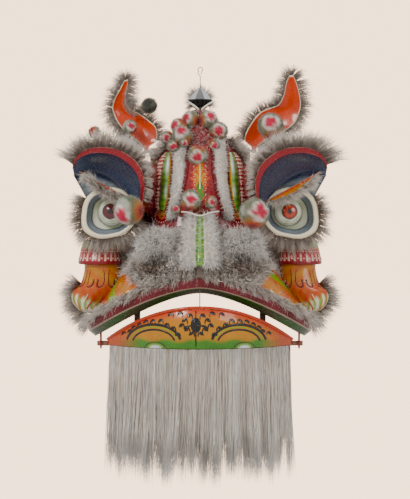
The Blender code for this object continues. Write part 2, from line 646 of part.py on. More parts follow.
def strip_rings(rows, sign, tops):
    """Rings of a raised strip on the dome. tops gives the shares of the width and of the relief."""
    rings = []
    for row in rows:
        a, b = row["a"], row.get("c", row["b"])
        under = [a + (b - a) * k / 4 for k in range(5)]
        ring = [(sign * x, dome_front(x, row["z"]) + STRIP_ROOT, row["z"]) for x in under]
        for across, height in reversed(tops):
            x = a + (b - a) * across
            ring.append((sign * x, dome_front(x, row["z"]) - STRIP_LIFT - row["rise"] * height, row["z"]))
        rings.append(ring)
    return rings


def build_forehead():
    boolean(loft("forehead_ridge", strip_rings(RIDGE, 1, ARCH), "paper_red"), CORES["dome"])
    for side, sign in SIDES:
        boolean(loft(f"forehead_fur_{side}", strip_rings(FOREHEAD_FUR, sign, ARCH[1:-1]), "fur_white"), CORES["dome"])
        boolean(loft(f"temple_band_{side}", strip_rings(TEMPLE, sign, PAIR), "paper_green"), CORES["dome"])


def brow_ring(row, sign):
    """A brow section: from its root in the dome, over the top to the lip, and back along the hollow underside."""
    edge = Vector((row["x"], row["y"], row["z"]))
    inner = Vector((row["in_x"], row["in_y"], row["in_z"]))
    root = Vector((BROW_ROOT["x"], row["root_y"], row["root_z"]))
    foot = edge.lerp(inner, min(0.45, row["lip"] / (edge - inner).length))
    foot.y = row["y"] + 3
    hollow = foot.lerp(inner, 0.5) + Vector((0, BROW_ROOT["hollow"] * (edge - inner).length, 0))
    back = inner + Vector((0, BROW_ROOT["return"], 0))
    shoulder = root.lerp(edge, 0.55) + Vector((0, 0, BROW_ROOT["arch"]))
    path = (root, shoulder, edge, foot, hollow, inner, back)
    across = (edge - root).cross(foot - edge).normalized()
    return turned([*path, *reversed(inset(path, across, BROW_WALL))], sign)


def inset(path, across, wall):
    """The path moved by the wall's thickness within its own plane, to the side its bend faces."""
    sides = [across.cross((b - a).normalized()) for a, b in zip(path, path[1:])]
    moved = [path[0] + sides[0] * wall]
    for point, one, other in zip(path[1:-1], sides, sides[1:]):
        both = (one + other).normalized()
        moved.append(point + both * (wall / max(0.5, both.dot(one))))
    return [*moved, path[-1] + sides[-1] * wall]


def lid_frame():
    """Hinge line of the right lid: its middle, direction, half length and the way down the face."""
    inner = Vector((LID["inner"][0], LID["y"], LID["inner"][1]))
    outer = Vector((LID["outer"][0], LID["y"], LID["outer"][1]))
    along = (outer - inner).normalized()
    down = Vector((along.z, 0, -along.x))
    return (inner + outer) / 2, along, (outer - inner).length / 2, down


def line_rod(name, sign, reach, radius):
    """A rod along a lid's hinge line, reaching as far on both sides of its middle."""
    middle, along, _, _ = lid_frame()
    ends = turned([middle - along * reach, middle + along * reach], sign)
    return rod_cutter(name, *ends, radius, 8)


def turned(points, sign):
    return [(sign * p[0], p[1], p[2]) for p in points]


def lid_reach(s):
    """How far the lid stands out of its hinge line, s running from -1 at its inner end to 1 at its outer."""
    return LID_SHEET["corner"] + (LID_SHEET["reach"] - LID_SHEET["corner"]) * math.sqrt(max(0.0, 1 - s * s))


def build_eye(side, sign):
    """A round eyeball and the tapered cup that it sits in."""
    shape = bmesh.new()
    bmesh.ops.create_uvsphere(shape, u_segments=12, v_segments=8, radius=EYE["radius"] * MM)
    bmesh.ops.translate(shape, verts=shape.verts, vec=Vector((sign * EYE["x"], EYE["y"], EYE["z"])) * MM)
    from_bmesh(f"eye_{side}", shape, "eye_glass")
    rings = []
    for row in CUP_PROFILE:
        ring = []
        for angle, reach in CUP_RIM:
            turn = math.radians(angle)
            radius = row.get("round", row.get("share", 0) * reach)
            x = EYE["x"] - row.get("lean", 0) + radius * math.cos(turn)
            ring.append((sign * x, row["y"], EYE["z"] + radius * math.sin(turn)))
        rings.append(ring)
    cup = loft(f"eye_cup_{side}", rings, "paper_grey")
    boolean(cup, CORES["dome"])
    return cup


def build_brow(side, sign):
    """The hooded brow with a boss for each end of the lid's pin."""
    middle, along, half, _ = lid_frame()
    brow = loft(f"brow_{side}", [brow_ring(row, sign) for row in BROW], "paper_red", None, True)
    boolean(brow, CORES["dome"])
    fit(brow, bpy.data.objects[f"temple_band_{side}"], room=TEMPLE_ROOM)
    for end in (-1, 1):
        spot = middle + along * end * (half + LID_PIN["boss_out"])
        place = (sign * spot.x, spot.y, spot.z)
        boss = ball(f"lid_boss_{side}_{end}", place, LID_PIN["boss"], "paper_red", CUTTERS, 1)
        boolean(brow, as_helper(boss), "UNION")
    boolean(brow, line_rod(f"lid_pin_room_{side}", sign, half + LID_PIN["hole_out"], LID_PIN["hole"]))
    clean_cuts(brow)
    return brow


def build_lid(side, sign):
    """The eyelid's bulged sheet with its pin, and the fur along its front edge."""
    middle, along, half, down = lid_frame()
    droop = math.radians(LID_SHEET["droop"])
    forward = Vector((0, -1, 0)) * math.cos(droop) + down * math.sin(droop)
    normal = along.cross(forward)
    span, thick, steps = half - LID_SHEET["inset"], normal * LID_SHEET["half_thick"], LID_SHEET["steps"]
    rings = []
    for k in range(steps + 1):
        s = -1 + 2 * k / steps
        root = middle + along * s * span
        edge = root + forward * lid_reach(s)
        crest = (root + edge) / 2 + normal * (LID_SHEET["bulge"] * math.sqrt(max(0.0, 1 - s * s)))
        rings.append(turned([root + thick, crest + thick, edge + thick, edge - thick, crest - thick, root - thick],
                            sign))
    lid = loft(f"eyelid_{side}", rings, "yellow_silk")
    boolean(lid, line_rod(f"lid_pin_{side}", sign, half + LID_PIN["pin_out"], LID_PIN["radius"]), "UNION")

    roots, outs, lengths = [], [], []
    for k in range(LID_FUR["steps"] + 1):
        s = LID_FUR["span"] * (-1 + 2 * k / LID_FUR["steps"])
        roots.append(middle + along * s * span + forward * (lid_reach(s) + FUR["lid"]["off"]))
        outs.append(forward + down * LID_FUR["down"] + along * LID_FUR["fan"] * s)
        lengths.append(FUR["lid"]["length"] + LID_FUR["corner"] * abs(s))
    up = turned([normal], sign)[0]
    fringe(f"lid_fur_{side}", "lid", turned(roots, sign), turned(outs, sign), lengths, up)


def build_eye_fur(side, sign, cup, brow):
    """Fur below the eye, from the nose side of the cup's rim round to its outer end."""
    roots, outs = [], []
    for k in range(EYE_FUR["steps"] + 1):
        angle = EYE_FUR["from"] + EYE_FUR["turn"] * k / EYE_FUR["steps"]
        turn = math.radians(angle)
        reach = cup_reach(angle) + FUR["eye"]["off"]
        roots.append((sign * (EYE["x"] + reach * math.cos(turn)), EYE_FUR["y"], EYE["z"] + reach * math.sin(turn)))
        outs.append((sign * math.cos(turn), EYE_FUR["forward"], math.sin(turn)))
    fit(fringe(f"eye_fur_{side}", "eye", roots, outs), cup, brow)


def build_brow_fur(side, sign, brow):
    """Fur along the brow's top edge, fanned from a point inside it."""
    roots, outs = [], []
    for k in range(BROW_FUR["steps"] + 1):
        place = BROW_FUR["from"] + BROW_FUR["stations"] * k / BROW_FUR["steps"]
        low = min(int(place), len(BROW) - 2)
        x, y, z = (BROW[low][key] + (BROW[low + 1][key] - BROW[low][key]) * (place - low) for key in ("x", "y", "z"))
        out = Vector((x - BROW_FUR["x"], 0, z - BROW_FUR["z"])).normalized()
        off = FUR["brow"]["off"]
        roots.append((sign * (x + out.x * off), y + BROW_FUR["behind"], z + out.z * off))
        outs.append((sign * out.x, BROW_FUR["forward"], out.z))
    fit(fringe(f"brow_fur_{side}", "brow", roots, outs), brow)


def build_eyes():
    for side, sign in SIDES:
        cup = build_eye(side, sign)
        brow = build_brow(side, sign)
        build_lid(side, sign)
        build_eye_fur(side, sign, cup, brow)
        build_brow_fur(side, sign, brow)


def cup_reach(angle):
    """Distance of the cup's rim from the eye's centre at an angle in degrees."""
    angle %= 360
    rows = [*CUP_RIM, (CUP_RIM[0][0] + 360, CUP_RIM[0][1])]
    for (a, ra), (b, rb) in zip(rows, rows[1:]):
        if a <= angle <= b:
            turn_a, turn_b, turn = math.radians(a), math.radians(b), math.radians(angle)
            across = math.sin(turn_b - turn_a) * ra * rb
            facing = math.sin(turn - turn_a) * ra + math.sin(turn_b - turn) * rb
            return across / facing
    return rows[0][1]


def build_muzzle():
    muzzle = shell_of("muzzle", [muzzle_ring(row) for row in MUZZLE], WALL, "paper_orange")
    boolean(muzzle, CORES["dome"])

    lip = MUZZLE[-1]
    rings = []
    for step in range(MUZZLE_STEPS + 1):
        angle = -90 + 180 * step / MUZZLE_STEPS
        turn = math.radians(angle)
        x, y, z = muzzle_point(lip, angle)
        fade = max(0.35, math.cos(turn * 0.9))
        shelf = [(row["out"] - row["width"] * fade, row["drop"]) for row in LIP_SHELF]
        rings.append([(x + math.sin(turn) * out, y - math.cos(turn) * out, z + drop)
                      for out, drop in (*LIP_FRONT, *shelf, *LIP_BACK)])
    loft("upper_lip", rings, "paper_red")
    for side, sign in SIDES:
        rings = []
        for step in range(LIP_FUR["steps"] + 1):
            angle = LIP_FUR["from"] + LIP_FUR["turn"] * step / LIP_FUR["steps"]
            tip = Vector(muzzle_point(lip, angle, LIP_FUR["tip"]))
            tip.z -= LIP_FUR["hang"][step % 2]
            inner = [muzzle_point(MUZZLE[-2], angle, LIP_FUR["off"]), muzzle_point(lip, angle, LIP_FUR["off"])]
            outer = [muzzle_point(lip, angle, LIP_FUR["off_lip"]), tip,
                     muzzle_point(MUZZLE[-2], angle, LIP_FUR["top"])]
            rings.append(turned(inner + outer, sign))
        loft(f"muzzle_fur_{side}", rings, "fur_grey")


def build_nose():
    """Nose: a green ridge between two rolls of white fur, with a furry nostril at each side."""
    rings = []
    for row in NOSE:
        half, base = row["half"], row["y"]
        top = [(half * share, base - NOSE_LIFT - row["rise"] * height, row["z"]) for share, height in NOSE_TOP]
        rings.append([*top, (half, base + NOSE_DEPTH, row["z"]), (-half, base + NOSE_DEPTH, row["z"])])
    nose = loft("nose", rings, "paper_green")
    boolean(nose, CORES["muzzle"])
    boolean(nose, CORES["dome"])
    for side, sign in SIDES:
        shape = bmesh.new()
        bmesh.ops.create_icosphere(shape, subdivisions=2, radius=1)
        for index, vert in enumerate(shape.verts):
            vert.co *= 1 + NOSTRIL["tuft"] * math.cos(index * TURN_STEP)
        bmesh.ops.scale(shape, vec=Vector(NOSTRIL["size"]) * MM, verts=shape.verts)
        centre = Vector((sign * NOSTRIL["x"], NOSTRIL["y"], NOSTRIL["z"]))
        bmesh.ops.translate(shape, vec=centre * MM, verts=shape.verts)
        lobe = from_bmesh(f"nostril_{side}", shape, "fur_white")
        boolean(lobe, CORES["muzzle"])
        boolean(lobe, CORES["dome"])
        fit(lobe, nose)
        fit(bpy.data.objects[f"muzzle_fur_{side}"], lobe, nose)


def build_cheeks():
    """Lantern-shaped cheeks over the mouth's corners, each with a fan of fur behind its fin."""
    turns = [math.tau * k / CHEEK_SIDES for k in range(CHEEK_SIDES)]
    for side, sign in SIDES:
        found = bpy.data.objects
        mouth = [found["muzzle"], found["upper_lip"], found[f"muzzle_fur_{side}"]]
        rings = [[(sign * (row["x"] + row["rx"] * math.cos(turn)), row["y"] + row["ry"] * math.sin(turn), row["z"])
                  for turn in turns] for row in CHEEK]
        cheek = loft(f"cheek_{side}", rings, "paper_orange")
        boolean(cheek, CORES["muzzle"])
        boolean(cheek, CORES["dome"])
        fit(cheek, *mouth, found[f"eye_cup_{side}"], found[f"eye_fur_{side}"])

        roots, outs = [], []
        for k in range(2 * len(CHEEK_FUR) - 1):
            low = min(k // 2, len(CHEEK_FUR) - 2)
            near, far, share = CHEEK_FUR[low], CHEEK_FUR[low + 1], k / 2 - low
            x, z, turn = (near[key] + (far[key] - near[key]) * share for key in ("x", "z", "turn"))
            roots.append((sign * x, CHEEK_FUR_Y, z))
            outs.append((sign * math.cos(math.radians(turn)), -0.1, math.sin(math.radians(turn))))
        fit(fringe(f"cheek_fur_{side}", "cheek", roots, outs), cheek, *mouth)


def build_ears():
    pivot = EAR_PIVOT
    for side, sign in SIDES:
        rows = EARS[side]
        inner = [Vector((row["a"], pivot["y"] + row["y"], row["z_a"])) for row in rows]
        outer = [Vector((row["b"], pivot["y"] + row["y"], row["z_b"])) for row in rows]
        rings = []
        for row, a, b in zip(rows, inner, outer):
            middle = (a + b) / 2 + Vector((0, row["cup"], 0))
            depth = Vector((0, EAR_THICK / 2, 0))
            rings.append(turned([a - depth, middle - depth, b - depth, b + depth, middle + depth, a + depth], sign))
        ear = loft(f"ear_{side}", rings, "paper_orange")
        ends = [(sign * (pivot["x"] + reach), pivot["y"], pivot["z"])
                for reach in (-pivot["inward"], pivot["outward"])]
        boolean(ear, rod_cutter(f"ear_pin_{side}", *ends, pivot["radius"]), "UNION")

        points = [*inner[2:], *reversed(outer[1:])]
        roots, outs = [], []
        for k in range(2 * len(points) - 1):
            low = min(k // 2, len(points) - 2)
            spot = points[low].lerp(points[low + 1], (k - 2 * low) / 2)
            before = points[max(0, low - 1)]
            after = points[min(len(points) - 1, low + 2)]
            run = after - before
            out = Vector((-run.z, 0, run.x)).normalized()
            roots.append(spot + out * FUR["ear"]["off"])
            outs.append(out)
        fit(fringe(f"ear_fur_{side}", "ear", turned(roots, sign), turned(outs, sign)), ear)


def stem(name, start, end, radius=STEM_RADIUS):
    return rod_cutter(name, start, end, radius, 6)


def build_pompoms():
    for row in POMPOMS:
        piece = ball(row["name"], row["at"], row["r"], "wool", shag=TUFT)
        boolean(piece, stem(row["name"] + "_stem", row["at"], row["to"]), "UNION")
        boolean(piece, CORES["dome"])
        neighbours = ["forehead_ridge", "forehead_fur_left", "forehead_fur_right", "temple_band_left",
                      "temple_band_right", "nose"]
        if "brow" in row["name"]:
            side = "left" if row["at"][0] < 0 else "right"
            neighbours += [f"brow_{side}", f"nostril_{side}"]
            fit(bpy.data.objects[f"brow_fur_{side}"], piece)
        fit(piece, *[bpy.data.objects[name] for name in neighbours])
    for name, rows in CLUSTERS.items():
        first, *others = rows
        piece = ball(name, first["at"], first["r"], "wool", shag=TUFT)
        for index, row in enumerate(others):
            more = as_helper(ball(f"{name}_{index}", row["at"], row["r"], "wool", CUTTERS, shag=TUFT))
            boolean(piece, more, "UNION")
        for row in rows:
            if "link" in row:
                boolean(piece, stem(f"{name}_link", row["at"], row["link"], 2 * STEM_RADIUS), "UNION")
        boolean(piece, stem(f"{name}_stem", others[0]["at"], CLUSTER_STEM_TO), "UNION")
        boolean(piece, CORES["dome"])
        fit(piece, *[bpy.data.objects[other] for other in (
            "forehead_ridge", "forehead_fur_left", "forehead_fur_right", "temple_band_left", "temple_band_right",
            "pompom_ridge_top", "horn", "horn_fur")])
    fit(bpy.data.objects["pompom_cluster_right"], bpy.data.objects["pompom_cluster_left"])
    for row in EAR_POMPOMS:
        piece = ball(row["name"], row["at"], row["r"], "wool", shag=TUFT)
        side = "left" if row["at"][0] < 0 else "right"
        boolean(piece, stem(row["name"] + "_stem", row["at"], row["to"]), "UNION")
        fit(piece, bpy.data.objects[f"ear_{side}"])
        fit(bpy.data.objects[f"ear_fur_{side}"], piece)


def jaw_arc(share, reach, rise, back=JAW_SET, drop=0.0):
    """A point of the jaw's bow, share running from -1 at the left end to 1 at the right."""
    bow = 1 - abs(share) ** JAW_BOW
    y = JAW["y"] - back - reach * JAW["reach"] * bow
    return share * JAW["half"], y, JAW["z"] - drop + rise * JAW["rise"] * bow


def jaw_foot(share):
    return jaw_arc(share, 0.88, -0.05, JAW_SET - 1, 2)


def jaw_top(share):
    return jaw_arc(share, 1.0, 1.0, drop=-1)


def build_jaw():
    """Lower jaw: a curved pan from the rod to a rimmed front edge, on a rod that turns in the hangers."""
    y, z = JAW["y"], JAW["z"]
    rings, rim = [], []
    for step in range(JAW["steps"] + 1):
        share = JAW["end"] * (-1 + 2 * step / JAW["steps"])
        top = jaw_top(share)
        rings.append([(share * JAW["half"], y - ROD["radius"] - 1, z), jaw_foot(share),
                      jaw_arc(share, 1.0, 0.35, drop=1), jaw_arc(share, 1.04, 0.7), top])
        rim.append((top[0], top[1], top[2] + RIM_BAR["lift"]))
    shape = bmesh.new()
    skin(shape, rings, closed_ring=False)
    pan = from_bmesh("jaw_pan", shape, "yellow_silk")
    wall = pan.modifiers.new("wall", "SOLIDIFY")
    wall.thickness = JAW["wall"] * MM
    wall.offset = 0
    bar = wire("jaw_rim", rim, RIM_BAR["radius"], "paper_orange", 1)
    rod = wire("jaw_rod", [(-ROD["half"], y, z), (ROD["half"], y, z)], ROD["radius"], "bamboo", 2)
    fit(pan, rod, bar)
    for side, sign in SIDES:
        ends = [(sign * (HANGER["x"] + reach), y, z) for reach in (-HANGER["room"], HANGER["room"])]
        boolean(pan, rod_cutter(f"hanger_room_{side}", *ends, HANGER["eye"] + 1.5))
    build_beard()


def build_beard():
    """Long hair under the jaw's front edge, in locks that end at uneven heights."""
    rings = []
    for k in range(2 * BEARD["locks"] + 1):
        share = (-1 + k / BEARD["locks"]) * BEARD["span"]
        x, y, z = jaw_foot(share)
        z_root, front = z - 2.3, y - 2.5
        back = front + BEARD["thick"]
        ridge = BEARD_RIDGE[k % 2]
        tip = BEARD["length"] * (1 if k % 2 else BEARD["short"]) * (1 - 0.1 * abs(share) ** 4)
        spread = x * BEARD["flare"]
        inward = 1 - BEARD["taper"] * share ** 2
        rings.append([(x, front, z_root), (spread, front - 4 - ridge, z - 70), (spread, front - 2 - ridge, z - 230),
                      (spread * inward, front + 5, z - tip), (spread, back + 2, z - 220), (x, back, z_root)])
    loft("beard", rings, "fur_grey")


def plate_with_eye(name, x, width, upper, material):
    """A flat plate across X with a round lower end, drilled for the jaw's rod."""
    y, z = JAW["y"], JAW["z"]
    turns = [math.radians(-100 + 200 * k / 8) for k in range(9)]
    outline = [(y + HANGER["eye"] * math.sin(a), z - HANGER["eye"] * math.cos(a)) for a in turns]
    outline += [(y + out, height) for out, height in upper]
    plate = loft(name, [[(x + end * width / 2, py, pz) for py, pz in outline] for end in (-1, 1)], material)
    boolean(plate, rod_cutter(name + "_eye", (x - width, y, z), (x + width, y, z), ROD["eye"]))
    boolean(plate, CORES["mouth"], "INTERSECT")
    fit(plate, bpy.data.objects["upper_lip"])
    return plate


def build_hangers():
    """Wood hangers and red corner straps that carry the jaw's rod."""
    for side, sign in SIDES:
        plate_with_eye(f"jaw_hanger_{side}", sign * HANGER["x"], HANGER["thick"], HANGER_ARM, "dark_wood")
        strap = plate_with_eye(f"corner_strap_{side}", sign * STRAP["x"], STRAP["thick"], STRAP_TAB, "paper_red")
        fit(strap, bpy.data.objects[f"cheek_fur_{side}"])


def build_cord():
    """Pull cord from the lip's middle to the jaw's rim."""
    _, y, z = muzzle_point(MUZZLE[-1], 0)
    _, rim_y, rim_z = jaw_top(0)
    ends = [(0, y + 4, z - CORD["below_lip"]), (0, rim_y - 0.5, rim_z + CORD["above_rim"])]
    cord = wire("jaw_cord", ends, CORD["radius"], "bamboo", 1)
    fit(cord, bpy.data.objects["upper_lip"], bpy.data.objects["jaw_rim"])


def place_pivot(name, place, pieces):
    """An empty on a joint's axis that carries the pieces turning about it."""
    pivot = bpy.data.objects.new(name, None)
    PARTS.objects.link(pivot)
    pivot.location = Vector(place) * MM
    for piece in pieces:
        held = bpy.data.objects[piece]
        held.parent = pivot
        held.matrix_parent_inverse = Matrix.Translation(-pivot.location)


def place_pivots():
    place_pivot("jaw_pivot", (0, JAW["y"], JAW["z"]), ("jaw_pan", "jaw_rim", "jaw_rod", "beard"))
    middle = lid_frame()[0]
    ear_balls = {"left": ("ear_pompom_left", "ear_pompom_dark"), "right": ("ear_pompom_right",)}
    for side, sign in SIDES:
        place_pivot(f"lid_pivot_{side}", (sign * middle.x, middle.y, middle.z), (f"eyelid_{side}", f"lid_fur_{side}"))
        place_pivot(f"ear_pivot_{side}", (sign * EAR_PIVOT["x"], EAR_PIVOT["y"], EAR_PIVOT["z"]),
                    (f"ear_{side}", f"ear_fur_{side}", *ear_balls[side]))


clear_scene()
PARTS = make_collection("lion_head")
CUTTERS = make_collection("cutters")
CORES = {"dome": dome_core(), "muzzle": muzzle_core(), "mouth": mouth_core()}
build_shell()
build_hoop()
build_horn()
build_wire()
build_forehead()
build_eyes()
build_muzzle()
build_nose()
build_cheeks()
build_ears()
build_pompoms()
build_jaw()
build_hangers()
build_cord()
place_pivots()
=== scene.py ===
import math

import bmesh
import bpy
import numpy as np
from mathutils import Matrix, Vector


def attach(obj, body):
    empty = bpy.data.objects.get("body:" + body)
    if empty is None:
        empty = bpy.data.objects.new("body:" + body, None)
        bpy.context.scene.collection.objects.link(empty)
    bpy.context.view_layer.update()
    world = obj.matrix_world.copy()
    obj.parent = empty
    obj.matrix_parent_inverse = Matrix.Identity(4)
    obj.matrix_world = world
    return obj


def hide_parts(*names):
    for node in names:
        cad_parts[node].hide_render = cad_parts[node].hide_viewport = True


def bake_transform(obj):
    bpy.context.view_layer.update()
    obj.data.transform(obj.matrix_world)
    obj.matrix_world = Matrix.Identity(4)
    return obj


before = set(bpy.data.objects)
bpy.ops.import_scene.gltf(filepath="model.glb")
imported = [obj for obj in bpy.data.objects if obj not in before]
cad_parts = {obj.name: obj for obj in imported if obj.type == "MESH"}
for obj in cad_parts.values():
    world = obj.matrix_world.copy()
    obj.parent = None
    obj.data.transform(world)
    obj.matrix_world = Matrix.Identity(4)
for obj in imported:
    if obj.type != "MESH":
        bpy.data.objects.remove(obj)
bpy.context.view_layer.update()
mm = 0.001
rng = np.random.default_rng(11)
sides = (("left", -1), ("right", 1))
print("loaded the head's frame")

colours = {
    "furDark": (0.080, 0.058, 0.047), "furMid": (0.34, 0.265, 0.22), "furLight": (0.88, 0.77, 0.67),
    "white": (0.99, 0.94, 0.86), "whiteShade": (0.80, 0.70, 0.60),
    "red": (0.21, 0.0002, 0.007), "deepRed": (0.085, 0.0004, 0.003), "pinkRed": (0.36, 0.004, 0.020),
    "orange": (0.48, 0.038, 0.0002), "earOrange": (0.53, 0.036, 0.0003), "amber": (0.46, 0.102, 0.0002),
    "yellow": (0.48, 0.195, 0.0003), "cream": (0.90, 0.80, 0.58), "green": (0.045, 0.21, 0.004),
    "leaf": (0.15, 0.36, 0.008), "black": (0.008, 0.008, 0.010), "navy": (0.012, 0.022, 0.075),
    "slate": (0.165, 0.205, 0.245), "offWhite": (0.74, 0.74, 0.62), "silver": (0.72, 0.78, 0.82),
    "olive": (0.050, 0.055, 0.030), "maroon": (0.13, 0.006, 0.014), "lipGrey": (0.50, 0.34, 0.31),
    "magenta": (0.56, 0.001, 0.045), "woolGreen": (0.040, 0.105, 0.030), "woolGrey": (0.24, 0.215, 0.15),
    "beardDark": (0.42, 0.30, 0.22), "beardLight": (0.99, 0.87, 0.74),
}


def tone(colour):
    return np.array(colours[colour]) if isinstance(colour, str) else np.asarray(colour)


def mix(a, b, share):
    # from a to b by a share; each is a colour or its name
    share = np.clip(np.asarray(share, float), 0, 1)[..., None]
    return tone(a) * (1 - share) + tone(b) * share


def painted(base, *layers):
    # colours laid over a base one after the other, each with the share in which it covers
    for colour, share in layers:
        base = mix(base, colour, share)
    return base


def ramp(value, stops):
    # colour along a list of (place, colour name)
    places = [place for place, _ in stops]
    table = np.array([colours[name] for _, name in stops])
    return np.stack([np.interp(value, places, table[:, k]) for k in range(3)], axis=-1)


def step(value, edge, soft=0.02):
    return np.clip((np.asarray(value) - edge) / soft + 0.5, 0, 1)


def between(a, b, c, d, f):
    # a smooth place at the share f of the way from b to c
    return 0.5 * (2 * b + (c - a) * f + (2 * a - 5 * b + 4 * c - d) * f ** 2 + (3 * b - a - 3 * c + d) * f ** 3)


def spline(rows, t):
    rows = np.asarray(rows, float)
    t = np.clip(np.asarray(t, float), 0, len(rows) - 1)
    i = np.minimum(t.astype(int), len(rows) - 2)
    f = (t - i)[..., None]
    a, b = rows[np.maximum(i - 1, 0)], rows[i]
    c, d = rows[i + 1], rows[np.minimum(i + 2, len(rows) - 1)]
    return between(a, b, c, d, f)


def unit(vectors):
    vectors = np.asarray(vectors, float)
    return vectors / np.maximum(np.linalg.norm(vectors, axis=-1, keepdims=True), 1e-9)


def mirrored(points, sign):
    points = np.array(points, float)
    points[..., 0] *= sign
    return points


def degreesFrom(directions, axis):
    return np.degrees(np.arccos(np.clip(directions @ unit(axis), -1, 1)))


def xyz(x, y, z):
    # points from their coordinates, which may be numbers or arrays
    return np.stack(np.broadcast_arrays(x, y, z), axis=-1)


def finish(piece, body, slot, *nodes):
    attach(piece, body)
    if nodes:
        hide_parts(*nodes)
    return piece


def paintAttribute(mesh, values):
    # one colour for all, or one for each vertex
    data = np.ones((len(mesh.vertices), 4), np.float32)
    data[:, :3] = values
    mesh.attributes.new("paint", "FLOAT_COLOR", "POINT").data.foreach_set("color", data.ravel())


def newObject(name, mesh, material):
    piece = bpy.data.objects.new(name, mesh)
    bpy.context.scene.collection.objects.link(piece)
    mesh.materials.append(material)
    return piece


def pieceFrom(name, shape, material, colour=(1, 1, 1), sharp=None):
    # a smooth object from a bmesh, with sharp edges above an angle in degrees
    mesh = bpy.data.meshes.new(name)
    shape.to_mesh(mesh)
    shape.free()
    paintAttribute(mesh, colour)
    mesh.shade_smooth()
    if sharp is not None:
        mesh.set_sharp_from_angle(angle=math.radians(sharp))
    return newObject(name, mesh, material)


def towardsViewer(p):
    return 0, -1, 0


def sheetPiece(name, across, down, place, material, paint, outward=towardsViewer, wall=0.0, merged=False):
    # a grid whose u and v run from 0 to 1, laid on place(u, v) in mm, with its own UV map and painted colours
    shape = bmesh.new()
    bmesh.ops.create_grid(shape, x_segments=across, y_segments=down, size=0.5)
    mesh = bpy.data.meshes.new(name)
    shape.to_mesh(mesh)
    flat = np.array([vert.co[:] for vert in shape.verts])
    shape.free()
    span = flat.max(axis=0) - flat.min(axis=0)
    u, v = ((flat[:, k] - flat[:, k].min()) / span[k] for k in (0, 1))
    points = place(u, v)
    mesh.vertices.foreach_set("co", (points * mm).ravel())
    corner = np.empty(len(mesh.loops), int)
    mesh.loops.foreach_get("vertex_index", corner)
    layer = mesh.uv_layers.new(name="UVMap")
    layer.data.foreach_set("uv", np.stack([u[corner], v[corner]], axis=-1).ravel())
    paintAttribute(mesh, paint(u, v, points))
    shape = bmesh.new()
    shape.from_mesh(mesh)
    if merged:
        bmesh.ops.remove_doubles(shape, verts=shape.verts, dist=0.00002)
    bmesh.ops.recalc_face_normals(shape, faces=shape.faces)
    shape.normal_update()
    lean = sum(face.normal.dot(Vector(outward(face.calc_center_median() / mm))) * face.calc_area()
               for face in shape.faces)
    if lean < 0:
        bmesh.ops.reverse_faces(shape, faces=shape.faces)
    shape.to_mesh(mesh)
    shape.free()
    mesh.shade_smooth()
    piece = newObject(name, mesh, material)
    if wall:
        thick = piece.modifiers.new("wall", "SOLIDIFY")
        thick.thickness = wall * mm
        thick.offset = -1
        thick.use_even_offset = False
    return piece


def strandMesh(name, roots, dirs, lengths, radius, bend, paint, material, rings=3, curl=None, taper=0.72):
    # closed three-sided hairs: roots, directions and bends in mm, and a colour at the root and at the tip of each
    n = len(roots)
    roots, dirs = np.asarray(roots, float), unit(dirs)
    lengths = np.broadcast_to(np.asarray(lengths, float), (n,))
    radius = np.broadcast_to(np.asarray(radius, float), (n,))
    side = unit(np.cross(dirs, unit(rng.normal(size=(n, 3)))))
    other = np.cross(dirs, side)
    stations = np.arange(rings) / rings
    angles = math.tau * np.arange(3) / 3
    verts = np.empty((n, rings * 3 + 1, 3))
    shades = np.empty((n, rings * 3 + 1, 3))
    rootShade, tipShade = paint
    phase = rng.uniform(0, math.tau, n)
    for k, t in enumerate([*stations, 1.0]):
        middle = roots + dirs * (lengths * t)[:, None] + bend * (lengths * t * t)[:, None]
        if curl is not None:
            size, turns = curl
            a, b = np.sin(turns * math.tau * t + phase), np.cos(turns * math.tau * t + phase)
            a, b = a - np.sin(phase), b - np.cos(phase)
            middle = middle + (side * a[:, None] + other * b[:, None]) * size * min(1, 2 * t)
        shade = rootShade * (1 - t) + tipShade * t
        if k == rings:
            verts[:, -1] = middle
            shades[:, -1] = shade
            continue
        thick = radius * (1 - taper * t)
        for j, angle in enumerate(angles):
            verts[:, k * 3 + j] = middle + (side * math.cos(angle) + other * math.sin(angle)) * thick[:, None]
            shades[:, k * 3 + j] = shade
    faces = []
    for k in range(rings - 1):
        for j in range(3):
            faces.append((k * 3 + j, k * 3 + (j + 1) % 3, k * 3 + 3 + (j + 1) % 3, k * 3 + 3 + j))
    last = (rings - 1) * 3
    tris = [(2, 1, 0)] + [(last + j, last + (j + 1) % 3, rings * 3) for j in range(3)]
    per = rings * 3 + 1
    shift = (np.arange(n) * per)[:, None]
    quadIndex = (shift[:, :, None] + np.array(faces)[None]).reshape(-1)
    triIndex = (shift[:, :, None] + np.array(tris)[None]).reshape(-1)
    corners = np.concatenate([quadIndex, triIndex]).astype(np.int32)
    quads, triangles = n * len(faces), n * len(tris)
    starts = np.concatenate([np.arange(quads) * 4, quads * 4 + np.arange(triangles) * 3]).astype(np.int32)
    mesh = bpy.data.meshes.new(name)
    mesh.vertices.add(n * per)
    mesh.vertices.foreach_set("co", (verts * mm).ravel())
    mesh.loops.add(len(corners))
    mesh.loops.foreach_set("vertex_index", corners)
    mesh.polygons.add(quads + triangles)
    mesh.polygons.foreach_set("loop_start", starts)
    mesh.update(calc_edges=True)
    mesh.validate()
    paintAttribute(mesh, shades.reshape(-1, 3))
    mesh.shade_smooth()
    return newObject(name, mesh, material)


